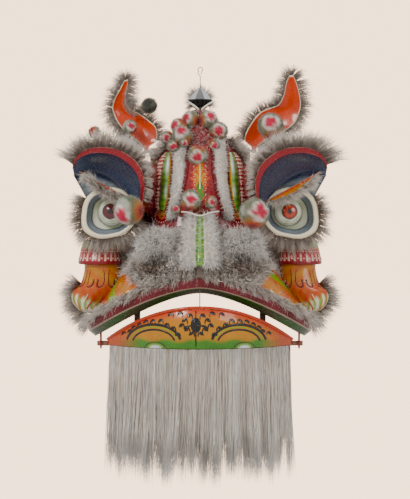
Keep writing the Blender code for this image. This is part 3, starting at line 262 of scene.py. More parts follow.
class Strokes:
    # closed flat strokes and beads laid on a surface, joined into one mesh
    def __init__(self):
        self.verts, self.faces, self.shades, self.count = [], [], [], 0

    def stroke(self, points, normals, widths, colour, lift=0.7, sides=6):
        points, normals = np.asarray(points, float), unit(normals)
        run = unit(np.gradient(points, axis=0))
        across = unit(np.cross(run, normals))
        widths = np.maximum(np.broadcast_to(np.asarray(widths, float), (len(points),)), 0.05)
        rows = []
        for j in range(sides):
            turn = math.tau * j / sides
            low = lift if math.sin(turn) > 0 else lift * 0.5
            rows.append(points + across * (widths * math.cos(turn))[:, None]
                        + normals * (low * math.sin(turn) * np.minimum(1, widths))[:, None])
        block = np.stack(rows, axis=1).reshape(-1, 3)
        n = len(points)
        for k in range(n - 1):
            for j in range(sides):
                a, b = k * sides + j, k * sides + (j + 1) % sides
                self.faces.append([self.count + i for i in (a, b, b + sides, a + sides)])
        self.faces.append([self.count + j for j in reversed(range(sides))])
        self.faces.append([self.count + (n - 1) * sides + j for j in range(sides)])
        self.verts.append(block)
        self.shades.append(np.tile(tone(colour), (len(block), 1)))
        self.count += len(block)

    def bead(self, centre, normal, size, colour, lift=0.8):
        centre, normal = np.asarray(centre, float), unit(normal)
        a = unit(np.cross(normal, (0.3, 0.2, 0.93)))
        b = np.cross(normal, a)
        ring = [centre + (a * math.cos(t) + b * math.sin(t)) * size for t in math.tau * np.arange(7) / 7]
        half = [centre + (p - centre) * 0.66 + normal * lift * 0.75 for p in ring]
        block = np.array([centre - normal * 0.5, *ring, *half, centre + normal * lift])
        c = self.count
        for j in range(7):
            k = (j + 1) % 7
            self.faces += [[c, c + 1 + k, c + 1 + j], [c + 1 + j, c + 1 + k, c + 8 + k, c + 8 + j],
                           [c + 8 + j, c + 8 + k, c + 15]]
        self.verts.append(block)
        self.shades.append(np.tile(tone(colour), (len(block), 1)))
        self.count += len(block)

    def beads(self, centres, normals, size, colour, lift):
        for centre, normal in zip(centres, normals):
            self.bead(centre, normal, size, colour, lift)

    def make(self, name, material):
        mesh = bpy.data.meshes.new(name)
        mesh.from_pydata((np.concatenate(self.verts) * mm).tolist(), [], self.faces)
        paintAttribute(mesh, np.concatenate(self.shades))
        shape = bmesh.new()
        shape.from_mesh(mesh)
        bmesh.ops.recalc_face_normals(shape, faces=shape.faces)
        shape.to_mesh(mesh)
        shape.free()
        mesh.shade_smooth()
        return newObject(name, mesh, material)


def onSurface(place, u, v, gap=0.004):
    # points and normals of a surface at arrays of u and v; the normal's sign is turned towards -Y
    u, v = np.broadcast_arrays(*np.atleast_1d(u, v))
    du = place(np.clip(u + gap, 0, 1), v) - place(np.clip(u - gap, 0, 1), v)
    dv = place(u, np.clip(v + gap, 0, 1)) - place(u, np.clip(v - gap, 0, 1))
    n = unit(np.cross(du, dv))
    return place(u, v), n * np.where(n[..., 1:2] > 0, -1, 1)


def tube(name, points, radius, material, sides=10, colour=(1, 1, 1), smooth=6):
    # a round bar along a smooth path
    t = np.linspace(0, len(points) - 1, (len(points) - 1) * smooth + 1)
    path = spline(points, t)
    run = unit(np.gradient(path, axis=0))
    normal = unit(np.cross(run[0], (0.31, 0.22, 0.92)))
    frames = []
    for direction in run:
        normal = unit(normal - direction * np.dot(normal, direction))
        frames.append((normal, np.cross(direction, normal)))
    shape = bmesh.new()
    turns = math.tau * np.arange(sides) / sides
    rows = [[shape.verts.new((point + (a * math.cos(w) + b * math.sin(w)) * radius) * mm) for w in turns]
            for point, (a, b) in zip(path, frames)]
    for low, high in zip(rows, rows[1:]):
        for j in range(sides):
            shape.faces.new((low[j], low[(j + 1) % sides], high[(j + 1) % sides], high[j]))
    for row in (rows[0], rows[-1]):
        shape.faces.new(row)
    bmesh.ops.recalc_face_normals(shape, faces=shape.faces)
    return pieceFrom(name, shape, material, colour, 50)


def groupOf(name, inputs, outputs):
    tree = bpy.data.node_groups.new(name, "ShaderNodeTree")
    for label, kind, value in inputs:
        tree.interface.new_socket(name=label, in_out="INPUT", socket_type=kind).default_value = value
    for label, kind in outputs:
        tree.interface.new_socket(name=label, in_out="OUTPUT", socket_type=kind)
    return tree, tree.nodes.new("NodeGroupInput"), tree.nodes.new("NodeGroupOutput")


def nodeIn(tree, kind, links=None, **values):
    node = tree.nodes.new(kind)
    for key, value in values.items():
        if key.startswith("in_"):
            node.inputs[key[3:].replace("_", " ")].default_value = value
        else:
            setattr(node, key, value)
    for socket, source in (links or {}).items():
        tree.links.new(source, node.inputs[socket])
    return node


def mathNode(tree, operation, *values):
    node = nodeIn(tree, "ShaderNodeMath", operation=operation)
    for socket, value in zip(node.inputs, values):
        if isinstance(value, (int, float)):
            socket.default_value = value
        else:
            tree.links.new(value, socket)
    return node.outputs[0]


def mixNode(tree, factor, a, b, blend="MIX"):
    node = tree.nodes.new("ShaderNodeMix")
    node.data_type = "RGBA"
    node.blend_type = blend
    for socket, value in ((node.inputs[0], factor), (node.inputs[6], a), (node.inputs[7], b)):
        if isinstance(value, (int, float)):
            socket.default_value = value
        elif isinstance(value, tuple):
            socket.default_value = (*value[:3], 1)
        else:
            tree.links.new(value, socket)
    return node.outputs[2]


def agedPaintGroup():
    # brushed lacquer over paper: mottled tone, fine cracks and dust, with a height for the paper's wrinkles
    tree, src, out = groupOf("agedPaint",
                             [("Color", "NodeSocketColor", (1, 1, 1, 1)), ("Scale", "NodeSocketFloat", 1.0),
                              ("Wear", "NodeSocketFloat", 0.3)],
                             [("Color", "NodeSocketColor"), ("Roughness", "NodeSocketFloat"),
                              ("Height", "NodeSocketFloat")])
    place = nodeIn(tree, "ShaderNodeTexCoord").outputs["Object"]
    scale = src.outputs["Scale"]
    broad = nodeIn(tree, "ShaderNodeTexNoise", {"Vector": place, "Scale": mathNode(tree, "MULTIPLY", scale, 28.0)},
                   in_Detail=4.0).outputs["Fac"]
    fine = nodeIn(tree, "ShaderNodeTexNoise", {"Vector": place, "Scale": mathNode(tree, "MULTIPLY", scale, 240.0)},
                  in_Detail=3.0).outputs["Fac"]
    cracks = nodeIn(tree, "ShaderNodeTexVoronoi",
                    {"Vector": place, "Scale": mathNode(tree, "MULTIPLY", scale, 90.0)},
                    feature="DISTANCE_TO_EDGE").outputs["Distance"]
    shade = mathNode(tree, "MULTIPLY_ADD", broad, 0.5, 0.72)
    toned = mixNode(tree, 1.0, src.outputs["Color"], shade, "MULTIPLY")
    chips = mathNode(tree, "MULTIPLY", mathNode(tree, "GREATER_THAN", fine, 0.66), src.outputs["Wear"])
    worn = mixNode(tree, chips, toned, (0.55, 0.47, 0.36))
    line = mathNode(tree, "MULTIPLY", mathNode(tree, "LESS_THAN", cracks, 0.02), src.outputs["Wear"])
    lined = mixNode(tree, line, worn, (0.05, 0.035, 0.03))
    rough = mathNode(tree, "MULTIPLY_ADD", fine, 0.3, 0.12)
    height = mathNode(tree, "ADD", mathNode(tree, "MULTIPLY", broad, 1.2), mathNode(tree, "MULTIPLY", fine, 0.25))
    tree.links.new(lined, out.inputs["Color"])
    tree.links.new(rough, out.inputs["Roughness"])
    tree.links.new(height, out.inputs["Height"])
    return tree


def hairGroup():
    # tone of a hair from its painted colour, with streaks over the coat
    tree, src, out = groupOf("hairTone",
                             [("Color", "NodeSocketColor", (1, 1, 1, 1)), ("Streak", "NodeSocketFloat", 0.5)],
                             [("Color", "NodeSocketColor"), ("Roughness", "NodeSocketFloat")])
    place = nodeIn(tree, "ShaderNodeTexCoord").outputs["Object"]
    patch = nodeIn(tree, "ShaderNodeTexNoise", {"Vector": place}, in_Scale=55.0, in_Detail=3.0).outputs["Fac"]
    speck = nodeIn(tree, "ShaderNodeTexNoise", {"Vector": place}, in_Scale=420.0, in_Detail=1.0).outputs["Fac"]
    both = mathNode(tree, "ADD", mathNode(tree, "MULTIPLY", patch, 0.9), mathNode(tree, "MULTIPLY", speck, 0.5))
    shade = mathNode(tree, "ADD", mathNode(tree, "MULTIPLY", mathNode(tree, "SUBTRACT", both, 0.7),
                                           src.outputs["Streak"]), 1.0)
    tree.links.new(mixNode(tree, 1.0, src.outputs["Color"], shade, "MULTIPLY"), out.inputs["Color"])
    tree.links.new(mathNode(tree, "ADD", mathNode(tree, "MULTIPLY", speck, 0.3), 0.35), out.inputs["Roughness"])
    return tree


agedPaint, hairTone = agedPaintGroup(), hairGroup()


def shaderOf(name):
    material = bpy.data.materials.new(name)
    material.use_nodes = True
    tree = material.node_tree
    return material, tree, tree.nodes["Principled BSDF"]


def addRelief(tree, shader, height, strength, distance=0.002):
    relief = nodeIn(tree, "ShaderNodeBump", {"Height": height}, in_Strength=strength, in_Distance=distance)
    tree.links.new(relief.outputs["Normal"], shader.inputs["Normal"])


def agedShader(name, scale, wear, bump, **levels):
    # aged paint and its relief on a shader, with the shader's own levels by name
    material, tree, shader = shaderOf(name)
    aged = nodeIn(tree, "ShaderNodeGroup", node_tree=agedPaint, in_Scale=scale, in_Wear=wear)
    tree.links.new(aged.outputs["Color"], shader.inputs["Base Color"])
    for level, value in levels.items():
        shader.inputs[level.replace("_", " ")].default_value = value
    addRelief(tree, shader, aged.outputs["Height"], bump)
    return material, tree, shader, aged


def lacquer(name, coat=0.7, scale=1.0, wear=0.25, bump=0.25, metallic=0.0, roughness=None):
    # varnished paint in the colours of the mesh's own paint attribute
    material, tree, shader, aged = agedShader(name, scale, wear, bump, Metallic=metallic, Specular_IOR_Level=0.3,
                                              Coat_Weight=coat, Coat_Roughness=0.06)
    tree.links.new(nodeIn(tree, "ShaderNodeAttribute", attribute_name="paint").outputs["Color"],
                   aged.inputs["Color"])
    if roughness is None:
        tree.links.new(aged.outputs["Roughness"], shader.inputs["Roughness"])
    else:
        shader.inputs["Roughness"].default_value = roughness
    return material


def furMaterial(name, streak=0.7, sheen=0.08, glow=0.5):
    material, tree, shader = shaderOf(name)
    colour = nodeIn(tree, "ShaderNodeAttribute", attribute_name="paint").outputs["Color"]
    hair = nodeIn(tree, "ShaderNodeGroup", node_tree=hairTone)
    tree.links.new(colour, hair.inputs["Color"])
    hair.inputs["Streak"].default_value = streak
    tree.links.new(hair.outputs["Color"], shader.inputs["Base Color"])
    tree.links.new(hair.outputs["Roughness"], shader.inputs["Roughness"])
    shader.inputs["Sheen Weight"].default_value = sheen
    shader.inputs["Specular IOR Level"].default_value = 0.25
    shader.inputs["Subsurface Weight"].default_value = glow
    shader.inputs["Subsurface Radius"].default_value = (1.0, 0.9, 0.8)
    shader.inputs["Subsurface Scale"].default_value = 0.004
    return material


def plainLook(name, colour, roughness, metallic=0.0, bump=0.3, scale=1.0, wear=0.2):
    # a paper, wire or cord finish for pieces of one colour
    material, _, _, aged = agedShader(name, scale, wear, bump, Roughness=roughness, Metallic=metallic)
    aged.inputs["Color"].default_value = (*colour, 1)
    return material


def woodLook(name, light, dark, along, roughness=0.5, coat=0.2):
    # grain that runs along one axis
    material, tree, shader = shaderOf(name)
    place = nodeIn(tree, "ShaderNodeTexCoord").outputs["Object"]
    stretch = nodeIn(tree, "ShaderNodeMapping", {"Vector": place},
                     in_Scale={"X": (6, 90, 90), "Z": (90, 90, 6)}[along])
    grain = nodeIn(tree, "ShaderNodeTexNoise", {"Vector": stretch.outputs["Vector"]}, in_Scale=2.2,
                   in_Detail=6.0).outputs["Fac"]
    tree.links.new(mixNode(tree, grain, dark, light), shader.inputs["Base Color"])
    shader.inputs["Roughness"].default_value = roughness
    shader.inputs["Coat Weight"].default_value = coat
    addRelief(tree, shader, grain, 0.35, 0.001)
    return material


looks = {
    "paint": lacquer("paintedPaper", coat=0.45, wear=0.10, bump=0.16),
    "dull": lacquer("plainPaper", coat=0.2, wear=0.2, bump=0.4),
    "marks": lacquer("raisedMarks", coat=0.5, wear=0.05, bump=0.1),
    "silk": lacquer("varnishedCloth", coat=0.35, wear=0.12, bump=0.35, scale=1.6),
    "silver": lacquer("silverLeaf", coat=0.6, wear=0.1, bump=0.2, metallic=0.85, roughness=0.2),
    "eye": lacquer("eyeLacquer", coat=1.0, wear=0.0, bump=0.02),
    "fur": furMaterial("greyFur"),
    "whiteFur": furMaterial("whiteFur", 0.35, 0.1, 0.9),
    "wool": furMaterial("pompomWool", 0.9, 0.3, 0.2),
    "inside": plainLook("bareInnerPaper", (0.42, 0.33, 0.22), 0.85, bump=0.6, wear=0.4),
    "wire": plainLook("hangingWire", (0.10, 0.09, 0.085), 0.35, 0.9, bump=0.1),
    "spring": plainLook("springWire", (0.20, 0.19, 0.18), 0.4, 0.9, bump=0.1),
    "cord": plainLook("pullCord", (0.10, 0.06, 0.04), 0.8, bump=0.4, scale=3.0),
    "bamboo": woodLook("stainedBamboo", (0.36, 0.16, 0.09), (0.16, 0.06, 0.035), "X"),
    "hoopBamboo": woodLook("plainBamboo", (0.50, 0.34, 0.16), (0.30, 0.18, 0.08), "Z"),
    "darkWood": woodLook("darkWood", (0.13, 0.12, 0.085), (0.04, 0.035, 0.028), "Z", 0.6, 0.1),
    "strap": plainLook("redStrap", (0.20, 0.018, 0.022), 0.7, bump=0.5, scale=2.0),
}
print("materials made")


photoView = {"distance": 4750, "plane": 4500, "mmPerPixel": 2.4, "middle": (200, 249.5), "height": -460}


def atPhoto(points):
    # where points in mm fall in the picture
    points = np.asarray(points, float)
    scale = photoView["mmPerPixel"] * ((photoView["distance"] + points[..., 1]) / photoView["plane"])
    across, down = photoView["middle"]
    return np.stack([across + points[..., 0] / scale, down - (points[..., 2] - photoView["height"]) / scale], axis=-1)


def pinned(place, pixels, uSpan=(0, 1), vSpan=(0, 1), steps=(360, 90)):
    # u and v of the surface's points that lie nearest to picture places
    u, v = np.meshgrid(np.linspace(*uSpan, steps[0]), np.linspace(*vSpan, steps[1]), indexing="ij")
    u, v = u.ravel(), v.ravel()
    seen = atPhoto(place(u, v))
    found = []
    for pixel in np.atleast_2d(pixels):
        gap = ((seen - pixel) ** 2).sum(axis=1)
        near = np.argsort(gap)[:4]
        weight = 1 / (gap[near] + 1e-4)
        found.append(((u[near] * weight).sum() / weight.sum(), (v[near] * weight).sum() / weight.sum()))
    found = np.array(found)
    return found[:, 0], found[:, 1]


# the dome: height, half width, front, back
domeRows = [(-112, 24, -98, -10), (-130, 42, -122, -10), (-190, 76, -180, -10), (-215, 100, -206, -10),
            (-240, 124, -230, -10), (-280, 140, -262, -10), (-330, 150, -290, -10), (-400, 158, -312, -30),
            (-460, 165, -324, -70), (-530, 172, -332, -130)]
domeFine = spline(domeRows, np.linspace(0, len(domeRows) - 1, 181))
domeLook = {"power": 0.8, "wall": 3.0, "ribRadius": 2.2}


def domeKey(z, key):
    return np.interp(-np.asarray(z, float), -domeFine[:, 0], domeFine[:, key])


def domePoint(angle, z, offset=0.0):
    half, front, back = (domeKey(z, key) for key in (1, 2, 3))
    c, s = np.cos(angle), np.sin(angle)
    x = (half + offset) * np.sign(c) * np.abs(c) ** domeLook["power"]
    y = back + (front - offset - back) * np.abs(s) ** domeLook["power"]
    return xyz(x, y, z)


def domeFront(x, z):
    half, front, back = (domeKey(z, key) for key in (1, 2, 3))
    share = np.minimum(1, np.abs(x) / half)
    half = domeLook["power"] / 2
    return back + (front - back) * (1 - share ** (1 / half)) ** half


def domeSheet(u, v):
    z = np.interp(v, np.linspace(0.05, 1, 181), domeFine[:, 0])
    p = domePoint(math.pi * u, z)
    cap = np.clip(v / 0.05, 0, 1)[:, None]
    return np.array([0, -45, -112.0]) * (1 - cap) + p * cap


def domePaint(u, v, p):
    swirl = np.sin(p[:, 2] * 0.11 + np.sin(p[:, 1] * 0.06) * 2.5)
    rim = np.minimum(u, 1 - u)
    return painted(mix("deepRed", "red", 0.55 + 0.45 * swirl), ("green", step(-rim, -0.075, 0.006)),
                   ("yellow", step(-rim, -0.05, 0.006)), ("deepRed", step(-rim, -0.03, 0.006)))


def buildDome():
    shell = sheetPiece("dome", 64, 64, domeSheet, looks["paint"], domePaint, lambda p: (p[0], p[1] + 60, 0),
                       wall=3.0)
    shell.data.materials.append(looks["inside"])
    shell.modifiers["wall"].material_offset = 1
    finish(shell, "head", "paper_red", "head_shell")
    hoop = [(half - 2, back + (5.8 if back < -10 else 4), z)
            for z, half, _, back in domeRows[1:] if z not in (-215, -280)]
    halfHoop = list(reversed(hoop)) + [(23, -6, -115), (0, -6, -114)]
    path = halfHoop + [(-x, y, z) for x, y, z in reversed(halfHoop[:-1])]
    ring = tube("neckHoop", path + path[:1], 3.5, looks["hoopBamboo"], 10)
    finish(ring, "head", "bamboo", "neck_hoop")
    ribs = Strokes()
    inner = domeLook["wall"] + domeLook["ribRadius"] + 0.3
    for z in (-180, -250, -320, -400, -480):
        p = domePoint(np.linspace(0.1, math.pi - 0.1, 40), z, -inner)
        ribs.stroke(p, (0, 0, 1), 2.2, "cream", 2.2, 8)
    for share in np.linspace(0.12, 0.88, 7):
        p = domePoint(math.pi * share, np.linspace(-135, -520, 36), -inner - 2.4)
        ribs.stroke(p, (0, 1, 0), 1.8, "cream", 1.8, 8)
    finish(ribs.make("bambooRibs", looks["hoopBamboo"]), "head", "bamboo")
    for side, sign in sides:
        shape = bmesh.new()
        bmesh.ops.create_cube(shape, size=1)
        bmesh.ops.scale(shape, vec=Vector((35, 17, 35)) * mm, verts=shape.verts)
        bmesh.ops.bevel(shape, geom=shape.edges[:] + shape.verts[:], offset=3 * mm, offset_type="OFFSET",
                        segments=3, profile=0.5, affect="EDGES", material=-1)
        bmesh.ops.translate(shape, vec=Vector((sign * 106, -115, -227)) * mm, verts=shape.verts)
        finish(pieceFrom(f"earBoss_{side}", shape, looks["paint"], tone("deepRed")), "head", "paper_red")
    marks = Strokes()
    for side, sign in sides:
        for row, z in enumerate(np.linspace(-250, -500, 7)):
            for column, angle in enumerate(np.linspace(0.25, 0.95, 3)):
                centre = angle + 0.11 * (row % 2)
                turn = np.linspace(0, 4.6, 16)
                size = np.linspace(9, 2.5, 16)
                a = centre + np.cos(turn) * size / 150
                p = domePoint(a, z + np.sin(turn) * size, 0.3)
                p[:, 0] *= sign
                n = p - np.array([0, -80, z])
                marks.stroke(p, n * np.array([1, 1, 0]), np.linspace(0.7, 1.7, 16),
                             ("yellow", "leaf")[(row + column) % 2])
    finish(marks.make("domeScrolls", looks["marks"]), "head", "paper_red")


def hairColours(count, low=("furDark", "furMid"), high=("furMid", "furLight")):
    pick = rng.uniform(0, 1, count)
    return mix(*low, pick * 0.7), mix(*high, rng.uniform(0, 1, count) ** 1.1)


def hairRow(name, node, body, roots, outs, ups, count, length, radius, depth, spread, clump, clumps, droop=0.12):
    # hair rooted in a strip along a path: it stands along outs and gathers into tufts
    roots = np.asarray(roots, float)
    outs, ups = (np.broadcast_to(np.asarray(rows, float), roots.shape) for rows in (outs, ups))
    t = rng.uniform(0, len(roots) - 1, count)
    place = rng.uniform(0, 1, count)
    rise = unit(spline(ups, t))
    tuft = np.minimum((t / (len(roots) - 1) * clumps).astype(int), clumps - 1)
    lean = rng.normal(size=(clumps, 3)) * clump
    reach = rng.uniform(0.82, 1.12, clumps)
    away = unit(spline(outs, t)) + rise * ((place - 0.35) * 0.3)[:, None]
    dirs = unit(unit(away) + lean[tuft] + rng.normal(size=(count, 3)) * spread)
    long = np.interp(t, np.arange(len(roots)), np.broadcast_to(np.asarray(length, float), (len(roots),)))
    size = long * reach[tuft] * rng.uniform(0.62, 1.12, count)
    bend = rng.normal(size=(count, 3)) * 0.07 + np.array([0, 0, -droop])
    piece = strandMesh(name, spline(roots, t) + rise * (place * depth)[:, None], dirs, size,
                       radius * rng.uniform(0.7, 1.2, count), bend, hairColours(count), looks["fur"], 2)
    return finish(piece, body, "fur_grey", *([node] if node else []))


hornFur = {"count": 900, "length": 36, "radius": 0.6, "depth": 8, "spread": 0.3, "clump": 0.3, "clumps": 22}


def buildHorn():
    rows = [(-111.4, 11, 9), (-100, 24, 17), (-88, 32, 23), (-74, 22, 16), (-62, 9, 7), (-56, 4, 4)]
    horn = {"segments": 128, "ribs": 30, "ribDepth": 0.035, "belt": -85.0}

    def place(u, v):
        inner = np.clip((v - 0.04) / 0.92, 0, 1) * 5
        low = np.minimum(inner.astype(int), 4)
        share = inner - low
        table = np.array(rows, float)
        row = table[low] * (1 - share[:, None]) + table[low + 1] * share[:, None]
        turn = math.tau * u + 0.39
        facet = math.cos(math.pi / 8) / np.cos((turn - 0.39) % (math.pi / 4) - math.pi / 8)
        below = row[:, 0] < horn["belt"]
        rib = 1 + np.where(below, horn["ribDepth"] * np.cos(horn["ribs"] * turn), 0)
        grow = np.minimum(1, np.minimum(v, 1 - v) / 0.04)
        y = -72 + (row[:, 0] + 111.4) * 0.12
        wide = grow * rib * facet
        return xyz(row[:, 1] * np.cos(turn) * wide, y + row[:, 2] * np.sin(turn) * wide, row[:, 0])

    def paint(u, v, p):
        turn = math.tau * u
        facets = np.floor(turn / (math.pi / 4)) % 2
        silver = mix("silver", tone("silver") * 0.35, facets)
        return mix(silver, "black", step(-p[:, 2], -horn["belt"] + 1, 1.0))

    body = sheetPiece("hornCore", horn["segments"], 40, place, looks["silver"], paint,
                      lambda p: (p[0], p[1] + 70, 0), merged=True)
    body.data.set_sharp_from_angle(angle=math.radians(24))
    finish(body, "head", "silver", "horn")
    trim = Strokes()
    for sign in (-1, 1):
        t = np.linspace(0, 1, 14)
        p = xyz(sign * (3 + 28 * t), -94 + 5 * t, -113 + 26 * t - 6 * t * t)
        trim.stroke(p, (0, -1, 0.2), 2.4, "offWhite", 2.2, 8)
    finish(trim.make("hornPiping", looks["silk"]), "head", "fur_white")
    turns = np.radians(np.linspace(212, -32, 26))
    roots = xyz(15 * np.cos(turns), -58.0, -88 + 15 * np.sin(turns))
    outs = xyz(np.cos(turns), 0.15, np.sin(turns))
    hairRow("hornHair", "horn_fur", "head", roots, outs, (0, 1, 0), **hornFur)
    wire = [(0, -65.2, -55.4), (0, -67, -42), (0, -62, -27), (-3, -38, -21), (-6, -14, -15)]
    eye = [(6 * math.sin(a), -2.4 + 1.2 * math.cos(a / 2),
            1.1 - 6 + 6 * math.cos(a)) for a in [math.radians(-140 + 280 * k / 9) for k in range(10)]]
    loop = tube("hangingWire", wire + eye + [(4, -14, -14), (2, -26, -18)], 1.1, looks["wire"], 10, smooth=4)
    finish(loop, "head", "wire", "hang_wire")


def stripSheet(rows, sign, profile, lift=0.8, sink=1.5):
    # a raised strip on the dome: rows of height, inner x, outer x and relief, and a profile of share and relief
    fine = spline(rows, np.linspace(0, len(rows) - 1, 121))
    hill = spline(profile, np.linspace(0, len(profile) - 1, 121))

    def place(u, v):
        z, a, b, rise = (np.interp(v, np.linspace(0, 1, 121), fine[:, k]) for k in range(4))
        high = np.interp(u, hill[:, 0], hill[:, 1])
        x = a + (b - a) * u
        edge = np.minimum(1, np.minimum(u, 1 - u) / 0.06)
        out = (lift + rise * high) * edge - sink * (1 - edge)
        ends = np.minimum(1, np.minimum(v, 1 - v) / 0.03)
        return xyz(sign * x, domeFront(x, z) - out * ends + 1.5 * (1 - ends), z)
    return place


ridgeRows = [(-205, -29, 29, 9), (-215, -30, 30, 15), (-240, -30, 30, 18), (-280, -32, 32, 19), (-330, -42, 42, 18),
             (-364, -52, 52, 13), (-384, -52, 52, 6)]
furRows = [(-192, 34, 52, 6), (-215, 35, 60, 12), (-240, 36, 64, 14), (-280, 38, 66, 14), (-330, 47, 70, 13),
           (-368, 57, 76, 9), (-384, 58, 76, 4)]
templeRows = [(-222, 70, 88, 5), (-240, 68, 102, 17), (-280, 69, 112, 21), (-330, 73, 114, 19), (-352, 78, 113, 13),
              (-366, 82, 106, 4)]
arch = [(0.0, 0.15), (0.14, 0.66), (0.32, 0.94), (0.5, 1.0), (0.68, 0.94), (0.86, 0.66), (1.0, 0.15)]
pair = [(0.0, 0.15), (0.14, 0.8), (0.3, 1.0), (0.48, 0.8), (0.58, 0.36), (0.66, 0.62), (0.8, 0.7), (0.92, 0.5),
        (1.0, 0.12)]


def ridgePaint(u, v, p):
    # red field, a flame of yellow and orange up the stem, a green leaf at its foot
    x, z = np.abs(p[:, 0]), -p[:, 2]
    tongue = 1 + 0.28 * np.sin(z * 0.42 + x * 0.25)
    flame = (3 + 17 * np.exp(-((z - 288) / 34) ** 2)) * tongue * step(z, 232, 14) * step(-z, -338, 14)
    share = x / np.maximum(flame, 0.01)
    leaf = 11 * np.exp(-((z - 322) / 22) ** 2)
    return painted(mix("red", "deepRed", step(x, 27 + (z - 205) * 0.12, 5)), ("orange", step(-share, -1.0, 0.25)),
                   ("yellow", step(-share, -0.62, 0.25)), ("green", step(-x, -leaf, 2.0)))


def templePaint(u, v, p):
    # green band with painted silver highlights and black teeth, and a red band of scales with cream rims
    z = -p[:, 2]
    teeth = 0.49 + 0.07 * np.abs(((z / 7.5) % 1) * 2 - 1)
    scallop = 0.10 + 0.05 * np.abs(np.sin(z * math.pi / 15))
    # light: painted silver highlight spots on the green band, one high on the temple and a weaker one lower down
    light = np.exp(-((z - 255) / 22) ** 2) + 0.5 * np.exp(-((z - 320) / 14) ** 2)
    light = np.exp(-((u - 0.26) / 0.09) ** 2) * light
    rows, across = z / 9.0, (u - 0.6) / 0.14
    arcs = (across + 0.5 * (np.floor(rows) % 2)) % 1
    scale = np.hypot(arcs - 0.5, (rows % 1) * 0.8)
    scales = mix("pinkRed", "cream", step(scale, 0.62, 0.12) * 0.8)
    return painted(mix("green", "leaf", 0.5 + 0.5 * np.sin(z * 0.4)), ("silver", light * 1.1),
                   ("black", step(u, teeth, 0.03)), ("yellow", step(-u, -scallop, 0.03)),
                   (mix(scales, "red", step(u, 0.9, 0.04)), step(u, 0.585, 0.02)))


foreheadLook = {"hairs": 1400, "hairThick": 0.75, "beads": 17, "flames": 7, "scales": 16}


def buildForehead():
    sheet = stripSheet(ridgeRows, 1, arch)
    ridge = sheetPiece("ridge", 52, 100, sheet, looks["paint"], ridgePaint, wall=1.5)
    finish(ridge, "head", "paper_red", "forehead_ridge")
    marks = Strokes()
    for sign in (-1, 1):
        for reach, tops in ((1.0, 0.0), (0.72, 0.12)):
            t = np.linspace(0.06 + tops * 0.5, 0.80, foreheadLook["beads"])
            u = 0.5 + sign * reach * (0.46 - 0.30 * np.sin(np.clip((t - 0.05) / 0.8, 0, 1) * math.pi * 0.5)
                                      * (1 - tops))
            marks.beads(*onSurface(sheet, u, t), 1.35, "offWhite", 0.7)
        for k in range(foreheadLook["flames"]):
            t = np.linspace(0, 1, 9)
            z0 = 0.36 + 0.075 * k
            u = 0.5 + sign * (0.03 + 0.20 * t * (1 - 0.06 * k))
            marks.stroke(*onSurface(sheet, u, z0 - 0.05 * t - 0.03 * t * t),
                         0.3 + 1.3 * np.sin(math.pi * np.clip(t, 0.02, 0.98)), ("orange", "amber")[k % 2], 0.6)
        t = np.linspace(0, 1, 14)
        u = 0.5 + sign * 0.13 * np.sin(math.pi * t)
        marks.stroke(*onSurface(sheet, u, 0.56 + 0.2 * t), 0.8, "black", 0.6)
    marks.stroke(*onSurface(sheet, 0.5, np.linspace(0.2, 0.62, 20)), np.linspace(0.5, 1.3, 20), "cream", 0.6)
    for side, sign in sides:
        sheet = stripSheet(templeRows, sign, pair)
        band = sheetPiece(f"templeBand_{side}", 44, 100, sheet, looks["paint"], templePaint, wall=1.5)
        finish(band, "head", "paper_green", f"temple_band_{side}")
        for start in np.linspace(0.08, 0.92, foreheadLook["scales"]):
            marks.stroke(*onSurface(sheet, np.linspace(0.6, 0.72, 6), start + np.linspace(0, 0.012, 6)), 0.9,
                         "cream", 0.6)
            marks.beads(*onSurface(sheet, 0.80, start + 0.02), 1.4, "offWhite", 0.7)
            marks.beads(*onSurface(sheet, 0.10, start), 1.5, "amber", 0.7)
        turn = np.linspace(0, 3.2 * math.pi, 34)
        for reach, wide, shade in ((np.linspace(12, 2, 34), 1.3, "orange"),
                                   (np.linspace(8.5, 1, 34), 0.8, "yellow")):
            x, z = 92 + np.cos(turn) * reach, -380 + np.sin(turn) * reach
            p = xyz(sign * x, domeFront(x, z) - 0.4, z)
            marks.stroke(p, (0, -1, 0), wide, shade, 0.8)
        for angle in math.tau * np.arange(16) / 16:
            x, z = 92 + 15.5 * math.cos(angle), -380 + 15.5 * math.sin(angle)
            marks.bead((sign * x, domeFront(x, z) - 0.3, z), (0, -1, 0), 1.5, "offWhite", 0.9)
        hide = stripSheet(furRows, sign, arch, sink=1.0)
        base = sheetPiece(f"foreheadHide_{side}", 16, 60, hide, looks["whiteFur"],
                          lambda u, v, p: tone("whiteShade"), wall=1.0)
        finish(base, "head", "fur_white", f"forehead_fur_{side}")
        count = foreheadLook["hairs"]
        u, v = rng.uniform(0.10, 0.90, count), rng.uniform(0.01, 0.98, count)
        p, n = onSurface(hide, u, v)
        dirs = unit(n + xyz(sign * (u - 0.5) * 0.7, 0, -0.75) + rng.normal(size=(count, 3)) * 0.5)
        shades = hairColours(count, ("whiteShade", "white"), ("white", "white"))
        hair = strandMesh(f"foreheadHair_{side}", p - n, dirs, rng.uniform(8, 16, count),
                          foreheadLook["hairThick"], rng.normal(size=(count, 3)) * 0.15 + (0, 0, -0.15), shades,
                          looks["whiteFur"], 2)
        finish(hair, "head", "fur_white")
    finish(marks.make("foreheadMarks", looks["marks"]), "head", "paper_red")


